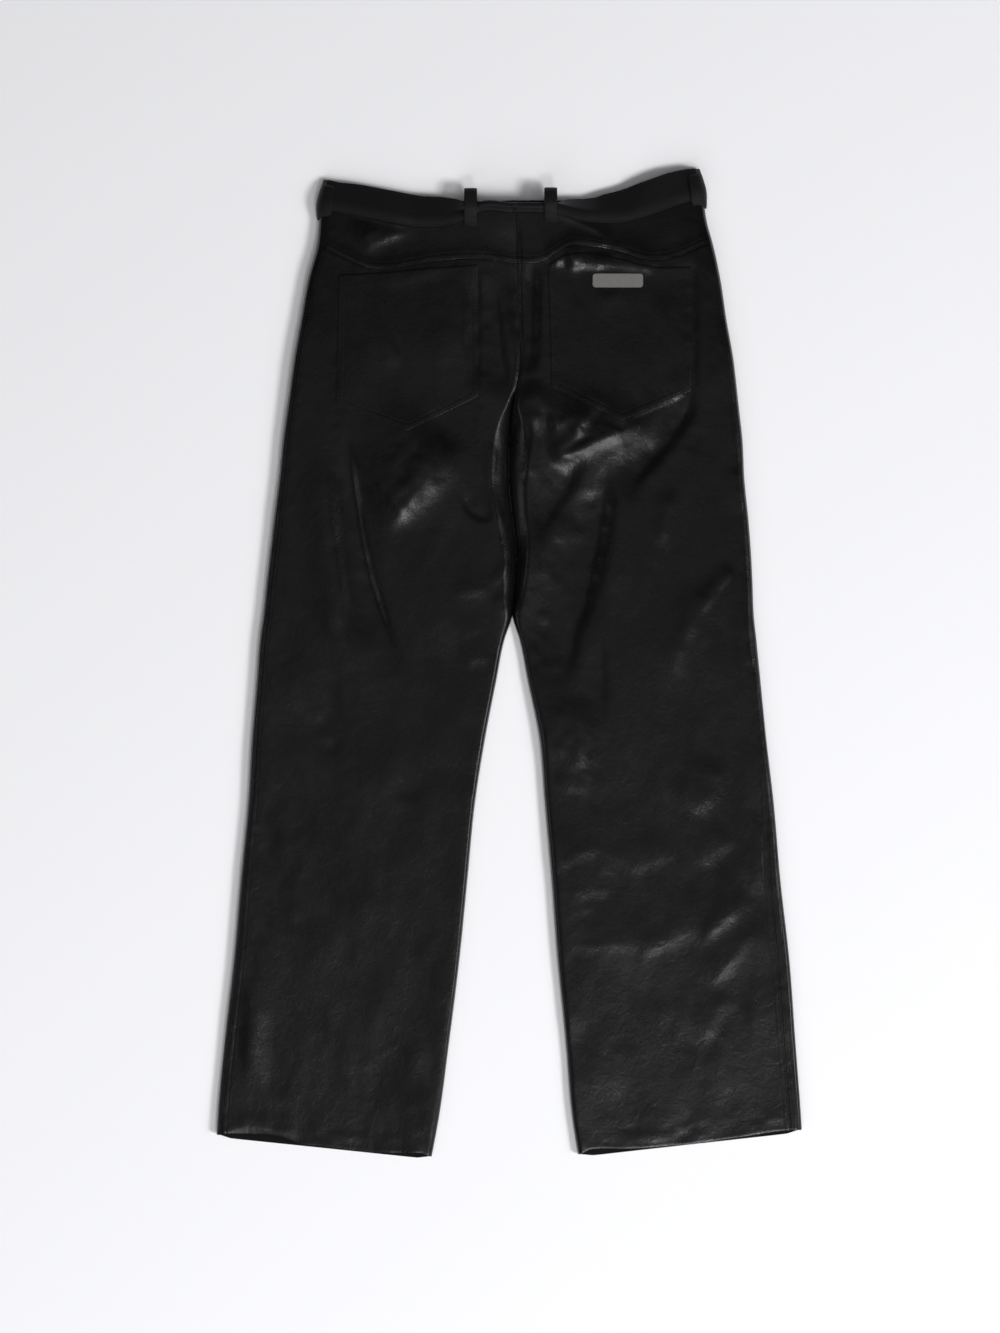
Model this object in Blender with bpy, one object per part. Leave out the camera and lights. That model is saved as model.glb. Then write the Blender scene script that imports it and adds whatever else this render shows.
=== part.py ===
"""Leather trousers laid flat on their front, back side up.

Axes: +X is to the right of the lay, +Y runs from the hems to the waist, +Z is up from the surface
that the trousers lie on. Tables and sizes are in millimetres; meshes are made in metres.

Each half of the garment is one skin: a grid of points whose rows run from the waist seam to the hem
and whose columns run from the centre back over the leg to the side seam, round the folded edge and
back below to the centre front. Every piece is a stretch of that skin, given its thickness inwards.
"""

import math
from dataclasses import dataclass

import bmesh
import bpy
import numpy as np

MM = 0.001
# The middle of the whole lay, which the meshes are moved by, so that it lies over the origin
LAY_CENTRE = (-0.4, 2.9)

# Leather
WALL = 1.5
HEM_WALL = 2.2
BAND_WALL = 2.8
LOOP_WALL = 1.6
PLACKET_WALL = 1.2
SEAM_GAP = 0.3
BAND_PROUD = 0.9
YOKE_PROUD = 0.9
POCKET_CLEAR = 0.3

# The lay
BAND_WIDTH = 40.0
EDGE_HEIGHT = 3.15
UNDER_ROUND = 5.0
LEAST_LAY = 9.6
CROTCH_Y = 248.0
VALLEY_TOP_Y = 350.0
FRONT_RISE_TOP_Y = 292.0
CENTRE_GROOVE = 0.1
CENTRE_FRONT_TOP = (2.5, 471.0)
FRONT_HEM_DROP = 4.5
BAND_REST = 12.0

# Small parts
PLATE_SIZE = (55.0, 15.0, 1.2)
PLATE_CORNER = 3.0
PLATE_CENTRE = (118.5, 421.0)
BUTTON_RADIUS = 8.5
BUTTON_HEIGHT = 1.9
BUTTON_CENTRE = (26.0, 491.0)
LOOP_WIDTH = 14.0
FRONT_LOOP_WIDTH = 12.0

# Rows of the skin between its row guides, from the waist seam down
GUIDE_ROWS = (3, 1, 8, 3, 26)
YOKE_ROW = 3
POCKET_ROWS = (4, 12)
HEM_ROWS = 1
# Columns over the back between its column guides, from the centre out
GUIDE_COLUMNS = (4, 8, 6)
POCKET_COLUMNS = (4, 12)
WRAP_COLUMNS = 3
UNDER_STEPS = (0.29, 1.0)
UNDER_SPLIT = (0.0, 0.2, 0.45, 0.7, 0.84, 1.0)
BAND_ROWS = 8
SIDE_LOOP_COLUMNS = 4
PLACKET_ROWS = 10
PLACKET_COLUMNS = 3


@dataclass(frozen=True)
class Section:
    """A crossing of one half: its inner and outer edge, and how far in from the edge the side seam lies."""

    y: float
    inner: float
    outer: float
    seam: float


@dataclass(frozen=True)
class Height:
    """The lay's height near the centre, half way across and near the side, and how round its edges are."""

    y: float
    inner: float
    middle: float
    outer: float
    inner_round: float
    outer_round: float


@dataclass(frozen=True)
class PocketLine:
    """Where the lines through a pocket's two sides cross a level."""

    y: float
    inner: float
    outer: float


@dataclass(frozen=True)
class Fold:
    """A soft ridge, or a trough where its height is negative, from one end to the other."""

    start: tuple
    end: tuple
    bow: float
    height: float
    left: float
    right: float


@dataclass(frozen=True)
class BandPitch:
    """How a waistband stands: its slopes by the seam and at its top in degrees, and its share of width."""

    x: float
    seam: float
    top: float
    share: float


@dataclass(frozen=True)
class Lift:
    """How high the front waistband lies above the surface, over the button, the loops and the lap."""

    x: float
    rise: float


LEFT_SECTIONS = (
    Section(545, 2.5, -209.0, 4.0),
    Section(512, 2.5, -209.0, 4.0),
    Section(486, 3.5, -209.5, 4.0),
    Section(463, 4.5, -211.5, 4.0),
    Section(424, 6.5, -221.7, 3.5),
    Section(380, 8.5, -229.4, 3.0),
    Section(336, 12.0, -237.1, 3.0),
    Section(312, 9.0, -240.5, 3.0),
    Section(286, 3.0, -244.0, 3.0),
    Section(248, -0.8, -249.2, 3.0),
    Section(204, -2.7, -253.6, 3.0),
    Section(160, 2.2, -259.1, 3.0),
    Section(127, 6.0, -263.0, 3.0),
    Section(94, 5.0, -266.8, 3.0),
    Section(54, 1.6, -271.0, 3.0),
    Section(28, -5.5, -274.5, 3.0),
    Section(-16, -14.3, -277.8, 3.0),
    Section(-82, -27.0, -283.3, 3.0),
    Section(-148, -37.4, -287.0, 3.0),
    Section(-236, -46.2, -295.4, 3.5),
    Section(-324, -55.0, -303.0, 4.0),
    Section(-412, -66.0, -313.0, 4.0),
    Section(-500, -78.0, -321.0, 4.0),
    Section(-545, -86.4, -323.2, 4.0),
)

RIGHT_SECTIONS = (
    Section(545, 2.5, 213.5, 4.0),
    Section(512, 2.5, 213.5, 4.0),
    Section(486, 3.5, 217.0, 4.0),
    Section(463, 4.5, 223.3, 4.0),
    Section(424, 6.5, 231.6, 3.5),
    Section(380, 8.5, 238.2, 3.0),
    Section(336, 12.0, 245.9, 3.0),
    Section(312, 9.0, 248.8, 3.0),
    Section(286, 3.0, 251.6, 3.0),
    Section(248, 0.8, 255.8, 3.0),
    Section(204, 1.7, 258.0, 3.0),
    Section(160, 5.5, 262.4, 3.0),
    Section(127, 8.3, 265.0, 3.0),
    Section(94, 7.7, 266.8, 3.0),
    Section(54, 4.7, 268.4, 3.0),
    Section(28, 11.0, 271.2, 3.5),
    Section(-16, 19.8, 275.6, 4.0),
    Section(-82, 33.0, 282.2, 5.0),
    Section(-148, 38.5, 289.9, 7.0),
    Section(-236, 46.2, 297.6, 11.0),
    Section(-324, 52.8, 307.5, 13.0),
    Section(-412, 61.6, 314.0, 13.0),
    Section(-500, 69.3, 320.5, 12.0),
    Section(-545, 76.5, 323.0, 11.0),
)

HEIGHTS = (
    Height(545, 28.0, 21.0, 16.0, 40.0, 15.0),
    Height(498, 28.0, 22.0, 17.0, 40.0, 15.0),
    Height(463, 25.0, 21.0, 18.0, 40.0, 15.0),
    Height(424, 22.0, 20.0, 19.0, 30.0, 14.0),
    Height(336, 19.0, 20.0, 20.0, 24.0, 14.0),
    Height(248, 17.0, 18.0, 18.5, 20.0, 14.0),
    Height(94, 15.5, 15.5, 17.0, 13.0, 13.0),
    Height(-82, 14.5, 14.0, 16.0, 12.0, 12.0),
    Height(-280, 13.5, 12.5, 14.5, 11.0, 11.0),
    Height(-450, 12.5, 11.2, 13.0, 9.0, 9.5),
    Height(-545, 12.0, 10.4, 12.5, 8.0, 9.0),
)

LEFT_POCKET_LINES = (
    PocketLine(545, -35, -184),
    PocketLine(428, -35, -186.5),
    PocketLine(286, -34.7, -189.5),
    PocketLine(248, -37, -190),
    PocketLine(-148, -85, -225),
    PocketLine(-545, -133, -261),
)

RIGHT_POCKET_LINES = (
    PocketLine(545, 42, 188),
    PocketLine(436, 42.5, 198.6),
    PocketLine(301, 46.8, 198.6),
    PocketLine(248, 47, 200),
    PocketLine(-148, 86, 234),
    PocketLine(-545, 127, 262),
)

# Row guides, each a line across one half from its inner edge to its outer one, as (x, y) points
LEFT_ROW_GUIDES = {
    "waist_seam": (
        (2.5, 495), (-34.7, 494.5), (-43.5, 489), (-65.5, 481.3), (-87.5, 479.1),
        (-120.5, 482.4), (-137, 485.7), (-192, 496.7), (-209.6, 498.9),
    ),
    "yoke_seam": (
        (5, 440.6), (-10.5, 442.8), (-76.5, 442.8), (-104, 438.4), (-137, 434),
        (-153.5, 435.1), (-175.5, 443.9), (-197.5, 454.9), (-212, 462.6),
    ),
    "pocket_top": ((6, 434.5), (-34.7, 438.5), (-104, 433.5), (-137, 430.3), (-186.5, 427.4), (-220, 425)),
    "pocket_foot": ((8, 304), (-34.7, 294.3), (-112, 256.9), (-189.5, 285.5), (-244, 283)),
    "crotch": ((-0.8, CROTCH_Y), (-34.7, 241), (-112, 229), (-190, 232), (-250, 232)),
    "hem": ((-85, -538.5), (-140, -535), (-172, -530.7), (-206, -526.3), (-244, -521.9), (-322, -515)),
}

RIGHT_ROW_GUIDES = {
    "waist_seam": (
        (2.5, 495), (39, 494.5), (47.9, 493.4), (74.3, 486.4), (99.6, 484.0),
        (121.6, 484.2), (152.4, 492), (187.6, 504.8), (213.9, 512),
    ),
    "yoke_seam": (
        (5, 440.6), (35.8, 442.4), (50, 450.5), (63.9, 458.9), (85, 458.6), (104.8, 456.2), (126, 451.4),
        (139.2, 446.8), (152.4, 443.9), (165.6, 443.9), (187, 448.8), (209.6, 459.3), (225, 466),
    ),
    "pocket_top": (
        (6, 434.5), (42.4, 437.5), (60, 449), (85, 451.6), (106, 448.6), (126, 443.9), (143, 438.5),
        (165, 435.5), (198.6, 436.5), (231, 441),
    ),
    "pocket_foot": ((8, 304), (46.8, 305.3), (122.7, 267.9), (198.6, 300.9), (250, 298)),
    "crotch": ((0.8, CROTCH_Y), (47, 246), (122, 241), (198, 244), (256, 244)),
    "hem": ((75, -536), (106, -531.5), (129, -527.5), (174, -522.5), (247, -513.5), (322, -509)),
}

ROW_ORDER = ("waist_seam", "yoke_seam", "pocket_top", "pocket_foot", "crotch", "hem")

FOLDS = (
    # Beside the centre back
    Fold((-26, 432), (-28, 285), 2, 3.0, 9, 9),
    Fold((-8, 424), (-8, 290), -2, -3.0, 9, 9),
    Fold((37, 436), (34, 316), 0, 3.0, 9, 8),
    Fold((25, 415), (23, 290), 0, -3.5, 8, 8),
    # Under the seat
    Fold((70, 222), (190, 268), 6, 5.5, 12, 20),
    Fold((40, 282), (82, 238), -4, 4.0, 11, 11),
    Fold((212, 292), (120, 186), -8, -4.0, 12, 14),
    Fold((-82, 224), (-140, 156), 4, 4.0, 16, 18),
    # Left thigh to knee
    Fold((-176, 232), (-126, -12), -10, -3.5, 13, 13),
    Fold((-200, 228), (-172, -8), -8, 3.0, 14, 14),
    Fold((-88, 150), (-78, 10), 4, 2.5, 18, 18),
    Fold((-60, 78), (-18, 74), 3, 3.0, 9, 9),
    # Right thigh to knee
    Fold((102, 190), (72, -4), 6, -5.5, 12, 14),
    Fold((68, 216), (36, 150), 3, -3.5, 10, 10),
    Fold((250, 104), (184, -12), -6, 4.5, 12, 18),
    Fold((184, 194), (168, 130), 2, 2.0, 12, 12),
    Fold((99, 10), (98, -146), 0, -4.0, 10, 12),
    Fold((84, -36), (84, -112), 0, 2.5, 11, 11),
    # Left shin
    Fold((-242, 8), (-180, -116), -8, 3.0, 13, 15),
    Fold((-274, -78), (-212, -276), -10, 3.0, 13, 14),
    Fold((-262, -180), (-232, -270), 0, -2.5, 12, 12),
    Fold((-132, -420), (-98, -476), 0, -1.5, 14, 14),
    # Right knee and shin
    Fold((54, -116), (106, -140), 4, 3.0, 10, 10),
    Fold((50, -220), (194, -206), 6, 3.5, 11, 14),
    Fold((58, -276), (156, -232), -6, 2.5, 11, 11),
    Fold((90, -310), (194, -292), -5, 3.5, 11, 13),
    Fold((212, -306), (262, -250), 3, 3.5, 11, 11),
    Fold((226, -352), (282, -290), 3, 2.5, 11, 11),
    Fold((208, -420), (242, -360), 3, 2.0, 13, 13),
)

BAND_PITCHES = (
    BandPitch(-210, 6, -8, 0.85),
    BandPitch(-192, 12, -24, 0.88),
    BandPitch(-165, 20, -36, 1.0),
    BandPitch(-100, 22, -36, 1.0),
    BandPitch(-68, 25, -48, 1.0),
    BandPitch(-50, 28, -72, 1.0),
    BandPitch(-36, 28, -122, 1.0),
    BandPitch(3, 28, -126, 1.0),
    BandPitch(40, 28, -118, 1.0),
    BandPitch(52, 25, -88, 1.0),
    BandPitch(74, 22, -66, 1.0),
    BandPitch(90, 20, -61, 1.0),
    BandPitch(104, 18, -44, 1.0),
    BandPitch(122, 10, -29, 1.0),
    BandPitch(144, 5, -12, 1.0),
    BandPitch(168, 4, -6, 1.0),
    BandPitch(192, 6, -12, 0.94),
    BandPitch(214, 6, -8, 0.82),
)
BAND_BEND = (5.0, 17.0)

LEFT_LIFTS = (
    Lift(-210, 0.0), Lift(-165, 0.2), Lift(-130, 1.7), Lift(-70, 1.7), Lift(-45, 2.3), Lift(60, 2.3),
)
RIGHT_LIFTS = (Lift(0, 5.5), Lift(58, 5.5), Lift(95, 1.8), Lift(135, 1.7), Lift(170, 0.2), Lift(214, 0.0))
LAP_END = 52.0
LIFT_REACH = 70.0
PLACKET_LIFT = 1.55
PLACKET_FOOT_Y = 318.0

BACK_LOOP_PATH = (
    (-9.0, 0.9), (-3.5, 1.9), (2.5, 4.8), (12.0, 7.8), (21.0, 7.4), (29.0, 5.2), (33.5, 0.8),
    (33.0, -3.8), (29.0, -7.4), (23.0, -10.0), (17.0, -11.6),
)
BACK_LOOPS = {"left": -42.6, "right": 45.0}
SIDE_LOOP_LIFTS = (0.5, 1.3, 1.6, 2.0, 2.2, 2.4, 2.2, 2.0, 1.6, 1.4)
FRONT_LOOPS = {"left": -98.0, "right": 112.0}

LEATHER = ((0.010, 0.010, 0.011, 1.0), 0.36, 0.0)
METAL = ((0.62, 0.61, 0.59, 1.0), 0.28, 1.0)


def column(rows, key, value, smooth=True):
    """A curve of one column of a table against another, smooth or straight between its rows."""
    pairs = sorted((getattr(row, key), getattr(row, value)) for row in rows)
    return curve_through(pairs, smooth)


def curve_through(pairs, smooth=True):
    """A function through (x, y) pairs: cubic with the slopes of its neighbours, or straight."""
    pairs = sorted(pairs)
    xs = np.array([pair[0] for pair in pairs], float)
    ys = np.array([pair[1] for pair in pairs], float)
    if not smooth:
        return lambda x: np.interp(x, xs, ys)
    slopes = np.gradient(ys, xs)

    def curve(x):
        x = np.clip(x, xs[0], xs[-1])
        i = np.clip(np.searchsorted(xs, x, side="right") - 1, 0, len(xs) - 2)
        span = xs[i + 1] - xs[i]
        f = (x - xs[i]) / span
        start = (1 + 2 * f) * (1 - f) ** 2 * ys[i] + f * (1 - f) ** 2 * span * slopes[i]
        end = f * f * (3 - 2 * f) * ys[i + 1] - f * f * (1 - f) * span * slopes[i + 1]
        return start + end

    return curve


def ease(value, low, high):
    """0 below low, 1 above high, and a smooth step between them."""
    f = np.clip((value - low) / (high - low), 0, 1)
    return f * f * (3 - 2 * f)


def round_over(distance, reach):
    """The height, 0 to 1, of a quarter round at a distance in from its edge."""
    f = 1 - np.clip(distance / reach, 0, 1)
    return np.sqrt(1 - f * f)


def unit(vectors):
    """The vectors at length 1."""
    return vectors / np.maximum(np.linalg.norm(vectors, axis=-1, keepdims=True), 1e-9)


def fold_height(x, y):
    """The sum of all folds at points of the lay."""
    total = np.zeros_like(x)
    for fold in FOLDS:
        start, end = np.array(fold.start, float), np.array(fold.end, float)
        along = end - start
        length = math.hypot(*along)
        along = along / length
        s = ((x - start[0]) * along[0] + (y - start[1]) * along[1]) / length
        across = -(x - start[0]) * along[1] + (y - start[1]) * along[0]
        inside = np.clip(s, 0, 1)
        across = across - fold.bow * 4 * inside * (1 - inside)
        width = np.where(across > 0, fold.left, fold.right)
        beyond = np.maximum(np.abs(s - 0.5) - 0.5, 0) * length
        taper = (1 - np.abs(2 * inside - 1) ** 3) * np.exp(-((beyond / width) ** 2))
        total += fold.height * taper * np.exp(-((across / width) ** 2))
    return total


class Half:
    """One half of the garment as a skin of points."""

    def __init__(self, side, sections, pocket_lines, row_guides, lifts):
        self.side = side
        self.inner = column(sections, "y", "inner")
        self.outer = column(sections, "y", "outer")
        self.seam = column(sections, "y", "seam")
        self.pocket_inner = column(pocket_lines, "y", "inner", smooth=False)
        self.pocket_outer = column(pocket_lines, "y", "outer", smooth=False)
        self.rows = [
            curve_through(row_guides[name], smooth=name in ("waist_seam", "yoke_seam")) for name in ROW_ORDER
        ]
        self.lift = column(lifts, "x", "rise")
        self.back_columns = sum(GUIDE_COLUMNS)
        self.build()

    def lay(self, x, y):
        """The height of the lay before its edges are rounded."""
        across = np.clip((x - self.inner(y)) / (self.outer(y) - self.inner(y)), 0, 1)
        near, mid, far = (column(HEIGHTS, "y", name)(y) for name in ("inner", "middle", "outer"))
        level = near + (4 * mid - 3 * near - far) * across + 2 * (near + far - 2 * mid) * across**2
        return np.maximum(level + fold_height(x, y), LEAST_LAY)

    def edge_share(self, x, y):
        """How much of the lay's height stands at a point, from 0 at a folded edge to 1 inside."""
        outer_round = column(HEIGHTS, "y", "outer_round")(y)
        inner_round = column(HEIGHTS, "y", "inner_round")(y)
        out = round_over(np.abs(self.outer(y) - x), outer_round)
        valley = np.maximum(1 - ease(y, CROTCH_Y, VALLEY_TOP_Y), CENTRE_GROOVE)
        inward = 1 - valley * (1 - round_over(np.abs(x - self.inner(y)), inner_round))
        return out * inward

    def top(self, x, y):
        """The height of the upper surface."""
        return EDGE_HEIGHT + (self.lay(x, y) - EDGE_HEIGHT) * self.edge_share(x, y)

    def front_inner(self, y):
        """The centre front above the crotch and the inseam below it."""
        x_top, y_top = CENTRE_FRONT_TOP
        f = np.clip((y - CROTCH_Y) / (y_top - CROTCH_Y), 0, 1)
        centre = self.inner(CROTCH_Y) + (x_top - self.inner(CROTCH_Y)) * f
        return np.where(y > CROTCH_Y, centre, self.inner(y))

    def waist_lift(self, x, y, seam_y):
        """How far the front stands off the surface near the waist, over what lies below it."""
        rise = self.lift(x) * ease(y, seam_y - LIFT_REACH, seam_y - 4)
        if self.side < 0:
            near = 1 - ease(np.abs(x - self.front_inner(y)), 48, 75)
            rise = np.maximum(rise, PLACKET_LIFT * near * ease(y, PLACKET_FOOT_Y - 30, PLACKET_FOOT_Y))
        return rise

    def bottom(self, x, y, seam_y):
        """The height of the lower surface."""
        out = EDGE_HEIGHT * (1 - round_over(np.abs(self.outer(y) - x), UNDER_ROUND))
        rise = 1 - ease(y, CROTCH_Y, FRONT_RISE_TOP_Y)
        inward = EDGE_HEIGHT * (1 - round_over(np.abs(x - self.front_inner(y)), UNDER_ROUND)) * rise
        return np.maximum(out + inward, self.waist_lift(x, y, seam_y))

    def build(self):
        """Works out the skin's points and normals."""
        back = self.back_points()
        front = self.front_points(back)
        self.points = np.concatenate([back, front[:, 1:]], axis=1)
        self.normals = self.normals_of(self.points)

    def back_points(self):
        """The points over the back, where the row guides and the column guides cross."""
        shares = [np.linspace(0, 1, n + 1)[:-1] for n in GUIDE_COLUMNS]
        shares[0] = shares[0] ** 1.4
        shares[2] = 1 - (1 - shares[2]) ** 1.5
        column_at = np.concatenate([share + k for k, share in enumerate(shares)] + [[3.0]])
        row_at = np.concatenate([np.arange(n) / n + k for k, n in enumerate(GUIDE_ROWS)] + [[5.0]])
        row_at, column_at = np.meshgrid(row_at, column_at, indexing="ij")
        y = 500 - 1000 * row_at / 5
        for _ in range(30):
            x = self.between(self.column_guides(y), column_at)
            y = self.between([guide(x) for guide in self.rows], row_at)
        return np.stack([x, y, self.top(x, y)], axis=-1)

    def column_guides(self, y):
        """The column guides' places at each level."""
        seam = self.outer(y) - self.side * self.seam(y)
        return [self.inner(y), self.pocket_inner(y), self.pocket_outer(y), seam]

    @staticmethod
    def between(guides, place):
        """Values between neighbouring guides, at a place counted in guides."""
        guides = np.stack(guides)
        low = np.clip(np.floor(place).astype(int), 0, len(guides) - 2)
        start = np.take_along_axis(guides, low[None], 0)[0]
        end = np.take_along_axis(guides, low[None] + 1, 0)[0]
        return start + (end - start) * (place - low)

    def front_points(self, back):
        """The points from the side seam round the outer edge and below to the centre front or inseam."""
        outer_y = back[:, -1, 1]
        inner_y = back[:, 0, 1].copy()
        hips = inner_y > CROTCH_Y
        waist_y = inner_y[0]
        inner_y[hips] = CROTCH_Y + (inner_y[hips] - CROTCH_Y) * (CENTRE_FRONT_TOP[1] - CROTCH_Y) / (
            waist_y - CROTCH_Y
        )
        rows = np.arange(len(outer_y))
        sag = np.maximum(1 - rows / 7, 0) * (10.0 if self.side < 0 else 14.0)
        hem_drop = FRONT_HEM_DROP * ease(rows, len(rows) - 4, len(rows) - 1)
        strips = []
        for k in range(WRAP_COLUMNS + 1):
            f = 1 - k / WRAP_COLUMNS
            distance = self.seam(outer_y) * f * f
            x = self.outer(outer_y) - self.side * distance
            strips.append(np.stack([x, outer_y, self.top(x, outer_y)], axis=-1))
        places = [("outer", share) for share in UNDER_STEPS]
        places += [("flat", share) for share in UNDER_SPLIT[1:-1]]
        places += [("inner", share) for share in reversed(UNDER_STEPS)] + [("inner", 0.0)]
        seam_y = outer_y[0]
        for kind, share in places:
            y = outer_y.copy()
            for _ in range(4):
                outer = self.outer(y) - self.side * UNDER_ROUND
                inner = self.front_inner(y) + self.side * UNDER_ROUND
                if kind == "outer":
                    x = self.outer(y) - self.side * UNDER_ROUND * share
                elif kind == "inner":
                    x = self.front_inner(y) + self.side * UNDER_ROUND * share
                else:
                    x = outer + (inner - outer) * share
                f = (self.outer(y) - x) / (self.outer(y) - self.front_inner(y))
                arch = 4 * f * (1 - f)
                y = outer_y + (inner_y - outer_y) * f - sag * arch - hem_drop * np.minimum(4 * arch, 1)
            seam_y = y[0]
            strips.append(np.stack([x, y, self.bottom(x, y, seam_y)], axis=-1))
        return np.stack(strips, axis=1)

    def normals_of(self, points):
        """Outward normals, shared at the inseam, where the first and last columns meet."""
        normals = grid_normals(points, -self.side)
        legs = points[:, 0, 1] <= CROTCH_Y + 0.01
        joined = normals[legs, 0] + normals[legs, -1]
        normals[legs, 0] = joined
        normals[legs, -1] = joined
        return unit(normals)


def join_centre(left, right):
    """Shares the normals of the two halves where they meet at the centre back."""
    hips = left.points[:, 0, 1] > CROTCH_Y + 0.01
    joined = unit(left.normals[hips, 0] + right.normals[hips, 0])
    left.normals[hips, 0] = joined
    right.normals[hips, 0] = joined


def grid_normals(points, turn):
    """The sum of the face normals round each point of a grid; turn is 1 or -1 for its handedness."""
    down = points[1:] - points[:-1]
    over = points[:, 1:] - points[:, :-1]
    faces = turn * np.cross(over[:-1] + over[1:], down[:, :-1] + down[:, 1:])
    normals = np.zeros_like(points)
    for rows in (slice(0, -1), slice(1, None)):
        for columns in (slice(0, -1), slice(1, None)):
            normals[rows, columns] += faces
    return normals


def part_seams(points, gap, sides):
    """The grid with the named borders drawn in along the surface by half of a gap."""
    points = points.copy()
    source = points.copy()
    if "first_row" in sides:
        points[0] += unit(source[1] - source[0]) * gap / 2
    if "last_row" in sides:
        points[-1] += unit(source[-2] - source[-1]) * gap / 2
    if "first_column" in sides:
        points[:, 0] += unit(source[:, 1] - source[:, 0]) * gap / 2
    if "last_column" in sides:
        points[:, -1] += unit(source[:, -2] - source[:, -1]) * gap / 2
    return points


ALL_SIDES = ("first_row", "last_row", "first_column", "last_column")


def material_of(name, finish):
    """A Principled material of one colour, roughness and metallic value."""
    colour, roughness, metallic = finish
    material = bpy.data.materials.new(name)
    material.use_nodes = True
    shader = material.node_tree.nodes["Principled BSDF"]
    shader.inputs["Base Color"].default_value = colour
    shader.inputs["Roughness"].default_value = roughness
    shader.inputs["Metallic"].default_value = metallic
    material.diffuse_color = colour
    return material


def finish_object(name, bm, finish):
    """Closes a bmesh into a named object with its material and smooth shading."""
    bmesh.ops.recalc_face_normals(bm, faces=bm.faces)
    if bm.calc_volume(signed=True) < 0:
        bmesh.ops.reverse_faces(bm, faces=bm.faces)
    bmesh.ops.translate(bm, verts=bm.verts, vec=(-LAY_CENTRE[0] * MM, -LAY_CENTRE[1] * MM, 0))
    mesh = bpy.data.meshes.new(name)
    bm.to_mesh(mesh)
    bm.free()
    mesh.materials.append(material_of(name, finish))
    mesh.shade_smooth()
    mesh.set_sharp_from_angle(angle=math.radians(50))
    made = bpy.data.objects.new(name, mesh)
    bpy.context.scene.collection.objects.link(made)
    return made


def slab(name, outside, inside, finish=LEATHER):
    """One closed piece between two grids of points, in millimetres."""
    rows, columns = outside.shape[:2]
    bm = bmesh.new()
    place = bm.verts.layers.int.new("place")
    bmesh.ops.create_grid(bm, x_segments=columns - 1, y_segments=rows - 1, size=1)
    bm.verts.ensure_lookup_table()
    for index, vert in enumerate(bm.verts):
        vert[place] = index
    bmesh.ops.triangulate(bm, faces=bm.faces[:], quad_method="FIXED")
    grown = bmesh.ops.extrude_face_region(bm, geom=bm.faces[:])
    through = {item for item in grown["geom"] if isinstance(item, bmesh.types.BMVert)}
    outside, inside = outside.reshape(-1, 3) * MM, inside.reshape(-1, 3) * MM
    for vert in bm.verts:
        vert.co = (inside if vert in through else outside)[vert[place]]
    return finish_object(name, bm, finish)


def wall_piece(name, points, normals, wall, lift=0.0, gap=SEAM_GAP, sides=ALL_SIDES):
    """A piece of leather from a stretch of skin, moved out by lift and as thick as wall."""
    points = part_seams(points, gap, sides)
    wall = np.broadcast_to(np.asarray(wall, float), points.shape[:2])[..., None]
    lift = np.broadcast_to(np.asarray(lift, float), points.shape[:2])[..., None]
    return slab(name, points + normals * lift, points + normals * (lift - wall))


def band_path(x, share):
    """(forward, up) of the waistband's surface at a share of its width, at stations x across the waist."""
    seam = np.radians(column(BAND_PITCHES, "x", "seam")(x))
    top = np.radians(column(BAND_PITCHES, "x", "top")(x))
    stretch = column(BAND_PITCHES, "x", "share")(x)
    steps = np.linspace(0, 1, 201)
    pitch = seam[..., None] + (top - seam)[..., None] * ease(steps * BAND_WIDTH, *BAND_BEND)
    step = BAND_WIDTH * (steps[1] - steps[0])
    forward = np.cumsum(np.cos(pitch), axis=-1) * step - step
    up = np.cumsum(np.sin(pitch), axis=-1) * step
    index = int(round(share * 200))
    return forward[..., index] * stretch, up[..., index] * stretch


def back_band_points(left, right):
    """The back waistband's skin: rows from its seam to its top edge, columns from left to right."""
    columns = left.back_columns
    seam = np.concatenate([left.points[0, : columns + 1][::-1], right.points[0, 1 : columns + 1]])
    share = np.concatenate(
        [
            left.edge_share(seam[: columns + 1, 0], seam[: columns + 1, 1]),
            right.edge_share(seam[columns + 1 :, 0], seam[columns + 1 :, 1]),
        ]
    )
    rows = []
    for k in range(BAND_ROWS + 1):
        forward, up = band_path(seam[:, 0], k / BAND_ROWS)
        rows.append(np.stack([seam[:, 0], seam[:, 1] + forward, seam[:, 2] + up * share], axis=-1))
    points = np.stack(rows)
    peak = points[..., 2].max(axis=0)
    fall = peak - points[-1, :, 2]
    room = np.minimum(np.maximum(peak - BAND_REST, 1), fall)
    points[..., 2] = np.where(
        np.arange(BAND_ROWS + 1)[:, None] > points[..., 2].argmax(axis=0),
        peak - (peak - points[..., 2]) * room / np.maximum(fall, 1e-6),
        points[..., 2],
    )
    return points


def front_band_points(half, back_end):
    """A front waistband's skin, from the back waistband's end round the edge to the centre front."""
    start = half.points[0, half.back_columns :]
    end_forward = back_end[:, 1] - back_end[0, 1]
    count = len(start)
    wrapped = np.arange(count) <= WRAP_COLUMNS
    rows = []
    for k in range(BAND_ROWS + 1):
        flat = np.full(count, BAND_WIDTH * k / BAND_ROWS)
        blend = ease(np.arange(count), WRAP_COLUMNS, WRAP_COLUMNS + 4)
        forward = end_forward[k] + (flat - end_forward[k]) * blend
        level = start[:, 2].copy()
        share = (start[:, 2] - EDGE_HEIGHT) / (start[0, 2] - EDGE_HEIGHT)
        level[wrapped] = EDGE_HEIGHT + (back_end[k, 2] - EDGE_HEIGHT) * share[wrapped]
        rows.append(np.stack([start[:, 0], start[:, 1] + forward, level], axis=-1))
    return np.stack(rows)


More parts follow.
